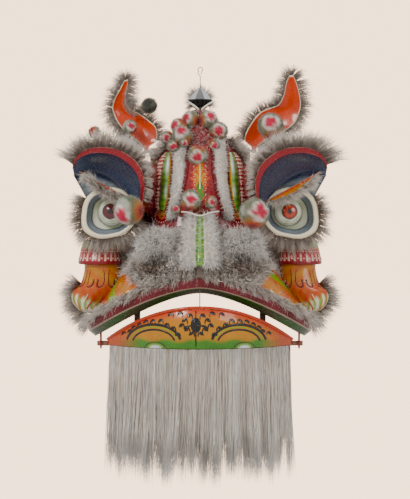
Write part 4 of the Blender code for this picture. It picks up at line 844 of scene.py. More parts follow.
# brow stations: lip edge x, z, its width, its depth; deep inner edge x, z, y; root y, z
browRows = [(137, -372, 9, -326, 153, -376, -298, -190, -385), (134, -338, 14, -334, 156, -352, -296, -190, -358),
            (130, -304, 20, -341, 164, -337, -292, -190, -328), (141, -266, 22, -347, 178, -321, -289, -190, -303),
            (168, -239, 22, -351, 196, -303, -285, -188, -284), (200, -224, 21, -352, 219, -287, -283, -178, -270),
            (240, -220, 20, -349, 243, -277, -284, -162, -260), (271, -227, 18, -341, 271, -273, -288, -145, -253),
            (292, -242, 13, -330, 290, -279, -294, -128, -248), (301, -260, 8, -318, 298, -287, -298, -111, -246)]


def browPath(t):
    x, z, lip, y, inX, inZ, inY, rootY, rootZ = spline(browRows, t).T
    edge, inner = xyz(x, y, z), xyz(inX, inY, inZ)
    root = xyz(88.0, rootY, rootZ)
    across = np.linalg.norm(edge - inner, axis=1)
    foot = edge + (inner - edge) * np.minimum(0.45, lip / across)[:, None]
    foot[:, 1] = y + 3
    hollow = (foot + inner) / 2
    hollow[:, 1] += 0.12 * across
    back = inner + (0, 14, 0)
    shoulder = root + (edge - root) * 0.55 + (0, 0, 4.0)
    near = lambda a, b, share: a + (b - a) * share
    return np.stack([root, near(root, shoulder, 0.6), shoulder, near(edge, shoulder, 0.12),
                     near(edge, shoulder, 0.02), edge, near(edge, foot, 0.15), near(foot, edge, 0.15), foot,
                     near(foot, hollow, 0.12), hollow, inner, back], axis=1)


def alongRows(points, s):
    # a smooth place along each row of a stack of paths
    n, k = points.shape[:2]
    s = np.clip(s, 0, k - 1)
    i = np.minimum(s.astype(int), k - 2)
    f = (s - i)[:, None]
    at = np.arange(n)
    a, b = points[at, np.maximum(i - 1, 0)], points[at, i]
    c, d = points[at, i + 1], points[at, np.minimum(i + 2, k - 1)]
    return between(a, b, c, d, f)


def browSheet(sign):
    def place(u, v):
        return mirrored(alongRows(browPath(9 * u), 12 * v), sign)
    return place


def browPaint(u, v, p):
    s = 12 * v
    hollow = mix("navy", "slate", np.exp(-((s - 10) / 0.9) ** 2) * 0.25)
    return painted(mix("red", "deepRed", 0.5 + 0.5 * np.sin(u * 60)), ("cream", step(s, 4.6, 0.2)),
                   ("red", step(s, 5.15, 0.15)), ("deepRed", step(s, 7.4, 0.3) * 0.7),
                   ("black", step(s, 8.0, 0.15)), (hollow, step(s, 8.4, 0.2)))


eyeAt = {"x": 210.6, "y": -262.0, "z": -370.0, "radius": 33.0}
cupRim = [(0, 70), (30, 68), (60, 62), (90, 58), (125, 58), (160, 60), (200, 61), (240, 60), (270, 61), (300, 72),
          (325, 79), (345, 74)]
# cup profile: share of the rim, round radius, depth, lean towards the dome
cupRows = [(0.50, 0, -150, 66), (0.82, 0, -215, 22), (1.0, 0, -256, 0), (1.0, 0, -270, 0), (0.86, 0, -273, 0),
           (0.78, 0, -264, 0), (0.60, 0, -250, 0), (0, 29, -242.6, 0), (0, 14, -227.8, 0)]


def rimReach(degrees):
    table = [(angle - 360, reach) for angle, reach in cupRim[-3:]] + cupRim + [(a + 360, r) for a, r in cupRim[:3]]
    fine = spline(table, np.linspace(0, len(table) - 1, 361))
    return np.interp(np.asarray(degrees, float) % 360, fine[:, 0], fine[:, 1])


def cupSheet(sign):
    def place(u, v):
        share, round_, y, lean = spline(cupRows, 8 * v).T
        reach = share * rimReach(360 * u) + round_
        turn = math.tau * u
        x = eyeAt["x"] - lean + reach * np.cos(turn)
        return xyz(sign * x, y, eyeAt["z"] + reach * np.sin(turn))
    return place


def cupPaint(u, v, p):
    # rings from the bowl's back to its rim, by their place in the profile
    s, wave = 8 * v, 0.5 + 0.5 * np.sin(u * math.tau * 3)
    rings = [("black", 2.35, 0.1), ("cream", 2.55, 0.1), ("black", 4.02, 0.06), ("slate", 4.14, 0.06),
             ("black", 5.62, 0.06), (mix("offWhite", "leaf", 0.35 * wave), 5.74, 0.06), ("black", 6.6, 0.2)]
    layers = [(colour, step(s, at, soft)) for colour, at, soft in rings]
    return painted(mix(tone("slate") * 0.6, "navy", wave), *layers)


lidLine = {"inner": (152.0, -349.5), "outer": (283.0, -277.0), "y": -294.0, "reach": 50.0, "corner": 6.0,
           "droop": 20.0, "inset": 16.0, "bulge": 4.0}


def lidFrame():
    inner = np.array([lidLine["inner"][0], lidLine["y"], lidLine["inner"][1]])
    outer = np.array([lidLine["outer"][0], lidLine["y"], lidLine["outer"][1]])
    along = unit(outer - inner)
    down = np.array([along[2], 0, -along[0]])
    droop = math.radians(lidLine["droop"])
    forward = np.array([0, -1, 0]) * math.cos(droop) + down * math.sin(droop)
    half = np.linalg.norm(outer - inner) / 2
    return (inner + outer) / 2, along, half, down, forward, np.cross(along, forward)


def lidSheet(sign):
    middle, along, half, _, forward, normal = lidFrame()

    def place(u, v):
        s = -1 + 2 * u
        round_ = np.sqrt(np.maximum(0, 1 - s * s))
        reach = lidLine["corner"] + (lidLine["reach"] - lidLine["corner"]) * round_
        p = middle + np.outer(s * (half - lidLine["inset"]), along) + np.outer(reach * v, forward)
        hump = lidLine["bulge"] * round_ * np.sin(math.pi * np.clip(v, 0, 1))
        return mirrored(p + np.outer(hump, normal), sign)
    return place


def lidPaint(u, v, p):
    wave = 0.5 + 0.5 * np.abs(np.sin(u * math.pi * 9))
    return painted(mix("amber", "yellow", step(v, 0.25, 0.4)), ("orange", step(-v, -0.20 * wave, 0.04)),
                   ("pinkRed", step(v, 0.70 + 0.1 * wave, 0.05) * 0.7), ("deepRed", step(v, 0.93, 0.04)))


def socketSheet(sign):
    # closes the room between the brow's deep edge and the cup's rim
    def place(u, v):
        path = browPath(9 * u)[:, 11]
        degrees = np.interp(u * 9, (0, 1, 2, 3, 4, 5, 6, 7, 8, 9), (190, 168, 152, 134, 116, 98, 79, 60, 42, 26))
        reach = rimReach(degrees) * 0.985
        turn = np.radians(degrees)
        rim = xyz(eyeAt["x"] + reach * np.cos(turn), -262.0, eyeAt["z"] + reach * np.sin(turn))
        p = path + (0, 5, 0) + (rim - path) * v[:, None]
        p[:, 1] += 7 * np.sin(math.pi * v)
        return mirrored(p, sign)
    return place


def socketPaint(u, v, p):
    return painted("navy", ("slate", step(v, 0.62 - 0.35 * u, 0.3)), ("black", step(v, 0.93, 0.04)))


eyeFur = {"count": 1650, "length": 40, "radius": 0.72, "depth": 16, "spread": 0.16, "clump": 0.15, "clumps": 50}
browFur = {"count": 3000, "radius": 0.68, "depth": 34, "spread": 0.13, "clump": 0.23, "clumps": 75}
lidFur = {"count": 1600, "radius": 0.62, "spread": 0.25, "clump": 0.22, "clumps": 34}


def buildEyes():
    middle, along, half, down, forward, normal = lidFrame()
    for side, sign in sides:
        brow = sheetPiece(f"brow_{side}_shell", 60, 60, browSheet(sign), looks["paint"], browPaint,
                          lambda p: (0, -0.2, p[2] + 330), wall=2.6)
        finish(brow, "head", "paper_red", f"brow_{side}")
        cup = sheetPiece(f"eyeCup_{side}_form", 72, 44, cupSheet(sign), looks["paint"], cupPaint,
                         lambda p: (p[0] - sign * 190, -0.3, p[2] + 370) if p[1] > -255 and p[1] < -245
                         else (0, -1, 0), merged=True)
        finish(cup, "head", "paper_blue", f"eye_cup_{side}")
        shape = bmesh.new()
        bmesh.ops.create_uvsphere(shape, u_segments=48, v_segments=32, radius=eyeAt["radius"] * mm)
        bmesh.ops.rotate(shape, verts=shape.verts, cent=(0, 0, 0), matrix=Matrix.Rotation(math.radians(90), 3, "X"))
        gap = degreesFrom(unit([vert.co[:] for vert in shape.verts]), (sign * 0.10, -1, 0.02))
        iris = [(0, "black"), (7, "black"), (9, "deepRed"), (14, "orange"), (25, "orange"), (30, "deepRed"),
                (34, "black"), (38, "offWhite"), (44, "offWhite"), (47, "leaf"), (50, "offWhite"),
                (60, "offWhite"), (64, "green"), (68, "offWhite"), (180, "slate")]
        if side == "left":
            iris = [(place, {"orange": "maroon", "deepRed": "black"}.get(name, name)) for place, name in iris]
        bmesh.ops.translate(shape, vec=Vector((sign * eyeAt["x"], eyeAt["y"], eyeAt["z"])) * mm, verts=shape.verts)
        finish(pieceFrom(f"eyeball_{side}", shape, looks["eye"], ramp(gap, iris)), "head", "eye_lacquer",
               f"eye_{side}")
        lid = sheetPiece(f"lid_{side}", 72, 26, lidSheet(sign), looks["silk"], lidPaint, lambda p: (0, 0, 1),
                         wall=2.4)
        lid.modifiers["wall"].offset = 0
        finish(lid, f"eyelid_{side}", "painted_cloth", f"eyelid_{side}")
        panel = sheetPiece(f"socket_{side}", 60, 14, socketSheet(sign), looks["dull"], socketPaint, wall=1.6)
        finish(panel, "head", "paper_blue")
        ends = [mirrored(middle + along * reach, sign) for reach in (-half - 5, -half / 2, half / 2, half + 5)]
        finish(tube(f"lidPin_{side}", ends, 2.0, looks["bamboo"], 12), f"eyelid_{side}", "bamboo")

        degrees = np.linspace(198, 388, 40)
        reach = rimReach(degrees) + 1
        turn = np.radians(degrees)
        roots = xyz(sign * (eyeAt["x"] + reach * np.cos(turn)), -268.0, eyeAt["z"] + reach * np.sin(turn))
        outs = xyz(sign * np.cos(turn), -0.3, np.sin(turn))
        hairRow(f"eyeHair_{side}", f"eye_fur_{side}", "head", roots, outs, (0, 1, 0), **eyeFur)

        t = np.linspace(0.9, 9, 50)
        path = browPath(t)
        edge, behind = path[:, 5], path[:, 2]
        out = unit(xyz(edge[:, 0] - 222, -8.0, edge[:, 2] + 305))
        out[:, 1] = -0.1
        length = np.interp(t, (0.9, 2.4, 3.8, 6.5, 9), (12, 17, 46, 54, 66))
        hairRow(f"browHair_{side}", f"brow_fur_{side}", "head", mirrored(edge + out * 0.5, sign),
                mirrored(out, sign), mirrored(behind - edge, sign), length=length, **browFur)

        s = np.linspace(-0.97, 0.97, 40)
        reach = lidLine["corner"] + (lidLine["reach"] - lidLine["corner"]) * np.sqrt(1 - s * s)
        root = middle + np.outer(s * (half - lidLine["inset"]), along) + np.outer(reach - 3, forward)
        sweep = 0.55 * s + (0.55 if side == "right" else 0.1)
        fall, rise, length, depth = (0.25, 0.1, 26, 9) if side == "right" else (0.35, 0.6, 34, 36)
        out = forward + fall * down - rise * normal + np.outer(sweep, along)
        hairRow(f"lidHair_{side}", f"lid_fur_{side}", f"eyelid_{side}", mirrored(root, sign), mirrored(out, sign),
                mirrored(-forward, sign), length=length + 8 * np.abs(s), depth=depth, **lidFur)


muzzleRows = [(128, -345, -215, -398, -430), (190, -392, -225, -450, -522), (238, -408, -234, -500, -592),
              (262, -412, -238, -526, -632)]


def muzzleAt(degrees, rowPlace, offset=0.0):
    half, front, end, midZ, endZ = spline(muzzleRows, rowPlace).T
    turn = np.radians(degrees)
    x = (half + offset) * np.sin(turn)
    y = end + (front - offset - end) * np.maximum(np.cos(turn), 0) ** 0.9
    return xyz(x, y, midZ + (endZ - midZ) * np.abs(np.sin(turn)) ** 1.6)


def muzzleSheet(u, v):
    return muzzleAt(-90 + 180 * u, 3 * v)


def muzzlePaint(u, v, p):
    # amber field with green clouds at the sides, darker under the nose
    turn = np.abs(u - 0.5) * 2
    wave = 0.5 + 0.5 * np.sin(p[:, 0] * 0.09 + np.sin(p[:, 2] * 0.07) * 2)
    clouds = step(np.sin(p[:, 2] * 0.08 + u * 22), 0.55, 0.2) * step(turn, 0.55, 0.1)
    return painted(mix("orange", "yellow", 0.25 + 0.6 * wave), ("leaf", clouds),
                   ("green", step(-turn, -0.34, 0.06) * 0.7), (tone("furMid") * 0.8, peltShare(atPhoto(p))),
                   ("deepRed", step(v, 0.965, 0.01)))


def peltShare(seen):
    # 1 where the muzzle is furred, by the place in the picture
    reach = np.abs(seen[:, 0] - 198)
    low = np.interp(reach, (0, 40, 62, 82), (300, 296, 284, 264))
    return step(-seen[:, 1], -low, 5) * step(-reach, -(82 - 0.45 * np.maximum(0, seen[:, 1] - 250)), 5)


lipLine = [(6, -0.9), (8, -12), (5, -23), (-4, -36), (-5, -33), (-4.5, -9), (-5, -3.4)]


def lipSheet(u, v):
    degrees = -90 + 180 * u
    turn = np.radians(degrees)
    base = muzzleAt(degrees, 3.0)
    fade = np.maximum(0.35, np.cos(turn * 0.9))
    table = np.array(lipLine + lipLine[:1], float)
    outs = np.repeat(table[None, :, 0], len(u), axis=0)
    outs[:, 3] -= 20 * fade
    outs[:, 4] -= 24 * fade
    drops = np.repeat(table[None, :, 1], len(u), axis=0)
    s = v * 7
    i = np.minimum(s.astype(int), 6)
    f = s - i
    f = f * f * (3 - 2 * f) * 0.35 + f * 0.65
    at = np.arange(len(u))
    out = outs[at, i] * (1 - f) + outs[at, i + 1] * f
    drop = drops[at, i] * (1 - f) + drops[at, i + 1] * f
    ends = np.minimum(1, np.minimum(u, 1 - u) / 0.004)
    middleOut, middleDrop = outs.mean(axis=1), drops.mean(axis=1)
    out = middleOut + (out - middleOut) * ends
    drop = middleDrop + (drop - middleDrop) * ends
    return base + xyz(np.sin(turn) * out, -np.cos(turn) * out, drop)


def lipPaint(u, v, p):
    s = 7 * v
    front = mix("maroon", "deepRed", 0.5 + 0.5 * np.sin(u * 50))
    front = mix(front, "lipGrey", step(np.abs(u - 0.5) * 2, 0.86, 0.1))
    # the shelf inside the lip: dark olive, and green darkened to a third; green paint with painted shade over it
    shadedShelf = mix("olive", tone("green") * 0.35, 0.5 + 0.5 * np.sin(u * 31 + s * 3))
    return painted(front, (tone("cream") * 0.7, step(s, 2.0, 0.06) * step(-s, -2.12, 0.06)),
                   (shadedShelf, step(s, 2.12, 0.06)))


lipFur = {"count": 2300, "radius": 0.7, "depth": 26, "spread": 0.3, "clump": 0.34, "clumps": 46, "droop": 0.2}


def buildMuzzle():
    shell = sheetPiece("muzzleShell", 84, 44, muzzleSheet, looks["silk"], muzzlePaint, lambda p: (p[0], p[1], 0),
                       wall=3.0)
    shell.data.materials.append(looks["inside"])
    shell.modifiers["wall"].material_offset = 1
    finish(shell, "head", "paper_orange", "muzzle")
    lip = sheetPiece("lipRoll", 108, 35, lipSheet, looks["dull"], lipPaint, lambda p: (p[0], p[1] + 260, 0),
                     merged=True)
    finish(lip, "head", "paper_red", "upper_lip")
    marks = Strokes()
    for sign in (-1, 1):
        for degrees, row, size, shade in ((52, 2.45, 17, "yellow"), (52, 2.45, 11.5, "green"),
                                          (62, 2.2, 12, "green"), (44, 2.2, 10, "cream"), (58, 1.6, 12, "yellow"),
                                          (68, 2.75, 10, "yellow")):
            turn = np.linspace(0, 6.8, 26)
            reach = np.linspace(size, 2.2, 26)
            u = 0.5 + sign * (degrees + np.cos(turn) * reach / 250 * 57.3) / 180
            v = np.clip(row / 3 + np.sin(turn) * reach / 190, 0.01, 0.99)
            marks.stroke(*onSurface(muzzleSheet, u, v), np.linspace(1.0, 2.0, 26), shade, 0.7)
    finish(marks.make("muzzleScrolls", looks["marks"]), "head", "paper_orange")
    for side, sign in sides:
        degrees = np.linspace(1.5, 88, 34)
        lip, above = muzzleAt(degrees, 3.0, 3.5), muzzleAt(degrees, 2.45, 2.0)
        turn = np.radians(degrees)
        out = xyz(np.sin(turn) * 0.75, -np.cos(turn) * 0.75, -0.28)
        lengths = np.interp(degrees, (0, 20, 60, 74, 88), (20, 21, 23, 32, 40))
        hairRow(f"lipHair_{side}", f"muzzle_fur_{side}", "head", mirrored(lip, sign), mirrored(out, sign),
                mirrored(above - lip, sign), length=lengths, **lipFur)


peltLook = {"count": 4800, "length": 17.0, "thick": 0.85, "crownCount": 1200, "crownThick": 0.6}
shoulderFur = {"count": 850, "length": 40, "radius": 0.7, "depth": 12, "spread": 0.3, "clump": 0.25, "clumps": 12}


def buildPelt():
    # loose fur over the muzzle's front and shoulders, pale above and dark round the nostrils
    count = peltLook["count"]
    degrees = rng.uniform(-74, 74, count * 3)
    row = rng.uniform(0.05, 2.6, count * 3)
    p = muzzleAt(degrees, row, 0.5)
    seen = atPhoto(p)
    reach = np.abs(seen[:, 0] - 198)
    wanted = (peltShare(seen) > 0.5) & (reach > 18)
    degrees, row, p, seen = (part[wanted][:count] for part in (degrees, row, p, seen))
    count = len(p)
    turn = np.radians(degrees)
    out = xyz(np.sin(turn), -np.cos(turn), -0.25)
    spots = 1.6 * np.exp(-(((np.abs(seen[:, 0] - 198) - 43) / 17) ** 2 + ((seen[:, 1] - 267) / 9) ** 2))
    pale = step(-seen[:, 1], -262, 16) * 0.9
    root, tip = hairColours(count)
    root = mix(mix(root, "whiteShade", pale), tone("furDark") * 0.4, spots)
    tip = mix(mix(tip, "white", pale), tone("furDark") * 0.7, spots)
    lean = rng.normal(size=(60, 3)) * 0.45
    tuft = (seen[:, 0] * 0.19).astype(int) * 7 % 60 + (seen[:, 1] * 0.16).astype(int) % 7
    dirs = unit(out + lean[tuft % 60] + rng.normal(size=(count, 3)) * 0.3)
    hair = strandMesh("muzzlePelt", p, dirs, peltLook["length"] * rng.uniform(0.7, 1.25, count),
                      peltLook["thick"] * rng.uniform(0.7, 1.2, count), rng.normal(size=(count, 3)) * 0.35,
                      (root, tip), looks["whiteFur"], 2, (1.6, 0.7))
    finish(hair, "head", "fur_grey")
    count = peltLook["crownCount"]
    angle = math.pi * rng.uniform(0.14, 0.86, count)
    z = rng.uniform(-214, -116, count)
    p = domePoint(angle, z, 0.5)
    out = p - np.array([0, -60, 0])
    out[:, 2] = 12
    dirs = unit(unit(out) + rng.normal(size=(count, 3)) * 0.4)
    pale = rng.uniform(size=count) < 0.45
    root, tip = hairColours(count)
    root[pale], tip[pale] = tone("whiteShade"), tone("white")
    crown = strandMesh("crownHair", p, dirs, rng.uniform(9, 17, count), peltLook["crownThick"],
                       rng.normal(size=(count, 3)) * 0.2, (root, tip), looks["whiteFur"], 2)
    finish(crown, "head", "fur_grey")
    for side, sign in sides:
        roots = mirrored(domePoint(0.2 * math.pi, np.linspace(-192, -234, 4), 0.5), sign)
        hairRow(f"shoulderHair_{side}", None, "head", roots, mirrored((0.85, -0.35, 0.32), sign), (0, 1, 0),
                **shoulderFur)


noseRows = [(-376, 24, -340, 6), (-392, 34, -352, 12), (-420, 38, -378, 18), (-450, 40, -398, 20),
            (-480, 40, -414, 18), (-500, 34, -424, 10)]
noseTop = [(-1, 0.1), (-0.8, 0.9), (-0.55, 1.0), (-0.3, 0.45), (-0.15, 0.7), (0, 0.8), (0.15, 0.7), (0.3, 0.45),
           (0.55, 1.0), (0.8, 0.9), (1, 0.1)]


def noseSheet(u, v):
    z, half, y, rise = spline(noseRows, v * 5).T
    share, high = spline(noseTop, u * 10).T
    ends = np.minimum(1, np.minimum(v, 1 - v) / 0.05)
    return xyz(half * share, y + 4 - 8 * ends - rise * high * ends, z)


def nosePaint(u, v, p):
    side = np.abs(u - 0.5)
    # light: a painted silver highlight down the middle of the green ridge, brightest at the top
    light = np.exp(-((side - 0.03) / 0.02) ** 2) * 0.5 * (1 - v)
    roll = mix("whiteShade", "furMid", step(np.abs(side - 0.25), 0.19, 0.04))
    return painted(mix("green", "leaf", 0.5 + 0.5 * np.sin(v * 42 + side * 14)), ("silver", light),
                   (roll, step(side, 0.17, 0.03)))


noseLook = {"hairs": 2400, "hairThick": 0.68, "padSize": (48.0, 34.0, 40.0), "padHairs": 2500, "padThick": 0.6}


def buildNose():
    ridge = sheetPiece("noseRidge", 60, 52, noseSheet, looks["paint"], nosePaint, wall=2.0)
    finish(ridge, "head", "paper_green", "nose")
    marks = Strokes()
    for row in range(9):
        v = 0.12 + 0.085 * row + 0.018 * np.cos(np.linspace(-1.5, 1.5, 9))
        marks.stroke(*onSurface(noseSheet, np.linspace(0.42, 0.58, 9), v), 0.8, ("black", "yellow")[row % 2], 0.5)
    finish(marks.make("noseMarks", looks["marks"]), "head", "paper_green")
    count = noseLook["hairs"]
    side = np.where(rng.uniform(size=count) < 0.5, -1, 1)
    u = 0.5 + side * rng.uniform(0.24, 0.49, count)
    v = rng.uniform(0.05, 0.97, count)
    p, n = onSurface(noseSheet, u, v)
    root, tip = hairColours(count, ("whiteShade", "white"), ("white", "white"))
    grey = step(np.abs(u - 0.5), 0.46, 0.05)
    shade = mix(root, "furDark", grey * 0.9), mix(tip, "furMid", grey * 0.9)
    dirs = unit(n + rng.normal(size=(count, 3)) * 0.5 + xyz(side * grey * 0.9, 0, -0.5))
    hair = strandMesh("noseHair", p, dirs, rng.uniform(8, 17, count), noseLook["hairThick"],
                      rng.normal(size=(count, 3)) * 0.4, shade, looks["whiteFur"], 2, (2.0, 0.8))
    finish(hair, "head", "fur_white")
    low = [(-42, -372, -372), (-24, -376, -374), (-8, -380, -380), (8, -380, -380), (26, -376, -374),
           (44, -370, -371)]
    beads = Strokes()
    line = spline(low, np.linspace(0, 5, 44))
    for centre in line:
        beads.bead(centre, (0, -1, 0.1), 1.9, "offWhite", 1.8)
    beads.stroke(line + (0, 1.2, 0), (0, -1, 0), 1.2, "cream", 1.2)
    finish(beads.make("noseString", looks["silk"]), "head", "fur_white")
    size = np.array(noseLook["padSize"])
    for name, sign in sides:
        centre = np.array([sign * 98.0, -366.0, -452.0])
        shape = bmesh.new()
        bmesh.ops.create_uvsphere(shape, u_segments=36, v_segments=24, radius=1)
        bmesh.ops.scale(shape, vec=Vector(size * 0.94) * mm, verts=shape.verts)
        bmesh.ops.translate(shape, vec=Vector(centre) * mm, verts=shape.verts)
        pad = pieceFrom(f"nostrilPad_{name}", shape, looks["fur"], tone("furDark"))
        finish(pad, "head", "fur_white", f"nostril_{name}")
        count = noseLook["padHairs"]
        face = unit(rng.normal(size=(count, 3)) + np.array([0, -0.9, 0.05]))
        roots = centre + face * size * 0.93
        far = ((face[:, 0] * sign + 0.05) / 0.66) ** 2 + ((face[:, 2] + 0.80) / 0.46) ** 2
        dark = np.minimum(1, 1.25 * np.exp(-far))[:, None]
        root = mix("furMid", "whiteShade", rng.uniform(size=count)) * (1 - dark) + tone("furDark") * 0.5 * dark
        tip = mix("white", "furLight", rng.uniform(size=count)) * (1 - dark) + tone("furDark") * dark
        keep = roots[:, 1] < -338
        dirs = unit(face + rng.normal(size=(count, 3)) * 0.45 + np.array([0, 0, -0.2]))
        hair = strandMesh(f"nostrilCurls_{name}", roots[keep], dirs[keep], rng.uniform(10, 19, keep.sum()),
                          noseLook["padThick"], rng.normal(size=(keep.sum(), 3)) * 0.4, (root[keep], tip[keep]),
                          looks["whiteFur"], 2, (2.2, 0.8))
        finish(hair, "head", "fur_white")


cheekRows = [(-436, 240, 42, -212, 36), (-468, 241, 49, -217, 43), (-494, 241, 52, -219, 47), (-499, 236, 43, -218, 37),
             (-541, 238, 50, -218, 40), (-562, 249, 59, -218, 38), (-586, 262, 46, -216, 28), (-604, 269, 25, -214, 15),
             (-613, 271, 8, -213, 6)]
cheekLook = {"flutes": 34, "fluteDepth": 0.012, "webHairs": 400}


def cheekSheet(sign):
    def place(u, v):
        inner = np.clip((v - 0.03) / 0.94, 0, 1)
        z, x, rx, y, ry = spline(cheekRows, inner * 8).T
        turn = math.tau * u
        flute = 1 + cheekLook["fluteDepth"] * np.cos(turn * cheekLook["flutes"]) * np.exp(-((z + 486) / 9) ** 2)
        grow = np.minimum(1, np.minimum(v, 1 - v) / 0.03) * flute
        return xyz(sign * (x + rx * np.cos(turn) * grow), y + ry * np.sin(turn) * grow, z)
    return place


def cheekPaint(u, v, p):
    # a scalloped collar, a red band, an amber waist and a flared fin with pale tips
    x, z, turn = np.abs(p[:, 0]), -p[:, 2], u * math.tau
    scallop = 2.5 * np.abs(np.sin(turn * 11))
    petal = (turn * 11 / math.pi) % 1
    petals = step(z, 470, 2) * step(-np.abs(petal - 0.5), -0.13, 0.08) * step(-z, -495, 2) * 0.75
    waist = mix("amber", "yellow", 0.5 + 0.5 * np.sin(turn * 5 + z * 0.2))
    fin = mix("orange", "amber", 0.5 + 0.5 * np.sin((x - 215) * 0.33 + (z - 540) * 0.12))
    tips = mix("leaf", "cream", 0.5 + 0.5 * np.sin(x * 0.45))
    fin = mix(fin, tips, step(z + (x - 262) * 0.35, 583 + 5 * np.sin(x * 0.4), 7))
    return painted(mix("green", "leaf", 0.5 + 0.5 * np.sin(turn * 14)), ("yellow", step(z, 453 + scallop, 1.5)),
                   ("pinkRed", step(z, 457 + scallop, 1.5)), ("cream", petals),
                   ("red", step(z, 489 - scallop, 1.5)), (waist, step(z, 497.5, 1.0)),
                   (fin, step(z, 541 + 3 * np.sin(turn * 6), 6)))


def gussetSheet(sign):
    # closes the room between the muzzle's side and the cheek
    def place(u, v):
        inner = muzzleAt(84.0, 2.2 * v, -4)
        z, x, rx, y, ry = spline(cheekRows, v * 5.2).T
        outer = xyz(x - rx * 0.8, y + 6, z)
        p = inner + (outer - inner) * u[:, None]
        p[:, 1] += 8 * np.sin(math.pi * u)
        return mirrored(p, sign)
    return place


cheekFurRows = [(292, -542, 35), (300, -556, 20), (301, -570, 8), (299, -584, -4), (292, -598, -18), (280, -612, -34),
                (274, -620, -48), (266, -628, -62)]
cheekFur = {"count": 1500, "length": 50, "radius": 0.7, "depth": 14, "spread": 0.15, "clump": 0.16, "clumps": 28}


def buildCheeks():
    for side, sign in sides:
        sheet = cheekSheet(sign)
        lantern = sheetPiece(f"cheekLantern_{side}", 84, 64, sheet, looks["paint"], cheekPaint,
                             lambda p: (p[0] - sign * 245, p[1] + 217, 0), merged=True)
        finish(lantern, "head", "paper_orange", f"cheek_{side}")
        gusset = gussetSheet(sign)
        web = sheetPiece(f"cheekWeb_{side}", 12, 20, gusset, looks["dull"],
                         lambda u, v, p: mix("furMid", "orange", step(v, 0.72, 0.3)), wall=1.6)
        finish(web, "head", "paper_orange")
        count = cheekLook["webHairs"]
        u, v = rng.uniform(0, 1, count), rng.uniform(0, 0.66, count)
        p, n = onSurface(gusset, u, v)
        dirs = unit(n + rng.normal(size=(count, 3)) * 0.5)
        fluff = strandMesh(f"cheekWebHair_{side}", p, dirs, rng.uniform(10, 18, count), 0.65,
                           rng.normal(size=(count, 3)) * 0.25,
                           hairColours(count, ("furMid", "whiteShade"), ("furLight", "white")),
                           looks["whiteFur"], 2)
        finish(fluff, "head", "fur_grey")
        marks = Strokes()
        for k, u in enumerate(np.linspace(0.5, 1.0, 23)):
            for level, shade, size in ((0.135, "cream", 1.5), (0.20 + 0.02 * (k % 2), "offWhite", 2.1)):
                marks.beads(*onSurface(sheet, u, level), size, shade, 1.0)
        for k, u in enumerate(np.linspace(0.58, 0.92, 5)):
            turn = np.linspace(-0.9, 3.6, 18)
            way = 1 if k % 2 else -1
            v = 0.47 + 0.06 * np.sin(turn) + 0.008 * turn
            marks.stroke(*onSurface(sheet, u + way * 0.026 * np.cos(turn), v), np.linspace(0.8, 2.2, 18),
                         "deepRed", 0.8)
        for k, u in enumerate(np.linspace(0.54, 0.97, 9)):
            t = np.linspace(0, 1, 14)
            marks.stroke(*onSurface(sheet, u + 0.012 * np.sin(t * 5 + k), 0.64 + 0.28 * t),
                         0.4 + 1.6 * np.sin(math.pi * np.clip(t, 0.05, 0.95)),
                         ("yellow", "orange", "cream")[k % 3], 0.7)
        for k, u in enumerate(np.linspace(0.58, 0.92, 6)):
            marks.beads(*onSurface(sheet, u, 0.80 + 0.03 * (k % 3)), 2.2, "offWhite", 1.1)
        marks.stroke(*onSurface(sheet, 0.995, np.linspace(0.60, 0.93, 30)), 1.1, "black", 0.8)
        marks.stroke(*onSurface(sheet, np.linspace(0.5, 1.0, 40), 0.345), 1.2, "yellow", 0.9)
        finish(marks.make(f"cheekMarks_{side}", looks["marks"]), "head", "paper_orange")
        table = np.array(cheekFurRows, float)
        turn = np.radians(table[:, 2])
        roots = xyz(sign * (table[:, 0] - 4), -214.0, table[:, 1])
        outs = xyz(sign * np.cos(turn), -0.1, np.sin(turn))
        hairRow(f"cheekHair_{side}", f"cheek_fur_{side}", "head", roots, outs, (0, 1, 0), **cheekFur)


earRows = {
    "right": [(127, -222, 138, -222, 0, 0), (125.5, -206, 141, -206, 0, 0), (110, -190, 153, -196, 1, 4),
              (115, -168, 176, -182, 2, 8), (130, -142, 206, -168, 4, 10), (148, -121, 231, -150, 5, 10),
              (172, -110, 244, -126, 6, 9), (193, -102, 249, -104, 3, 7), (206, -78, 246, -78, -4, 5),
              (212, -50, 238, -50, -12, 3), (220, -31, 229, -31, -18, 1)],
    "left": [(127, -222, 138, -222, 0, 0), (125.5, -206, 141, -206, 0, 0), (108, -190, 153, -194, 1, 4),
             (108, -160, 172, -180, 2, 8), (127, -141, 188, -165, 4, 10), (150, -124, 202, -149, 5, 10),
             (171, -114, 211, -131, 6, 9), (182, -101, 217, -111, 3, 7), (184, -80, 211, -88, -4, 5),
             (179, -55, 196, -62, -12, 3), (177, -41, 186, -43, -18, 1)],
}


def earSheet(side, sign):
    def place(u, v):
        a, za, b, zb, y, cup = spline(earRows[side], v * 10).T
        bow = 1 - np.abs(2 * u - 1) ** 1.8
        crease = 1.3 * np.sin(u * 9 + v * 31) * np.exp(-((v - 0.42) / 0.16) ** 2) * bow
        x, z = a + (b - a) * u, za + (zb - za) * u
        return xyz(sign * x, -115 + y + cup * bow + crease, z)
    return place


def earPaint(u, v, p):
    edge = np.minimum(np.minimum(u, 1 - u), (1 - v) * 1.2)
    streak = 0.5 + 0.5 * np.sin(u * 17 + v * 9 + np.sin(v * 23) * 1.5)
    # painted shade along the ear's two creases: the ear's own orange darkened
    creaseShade = tone("earOrange") * 0.35
    return painted(mix("earOrange", "orange", streak * 0.45),
                   (creaseShade, np.exp(-((v - 0.40 - 0.05 * np.sin(u * 6)) / 0.008) ** 2) * 0.8),
                   (creaseShade, np.exp(-((v - 0.52 + 0.08 * u) / 0.007) ** 2) * 0.6),
                   (tone("cream") * 0.9, step(-edge, -0.028, 0.02)))


earFur = {"count": 2400, "length": 38, "radius": 0.7, "depth": 4, "spread": 0.2, "clump": 0.11, "clumps": 70}


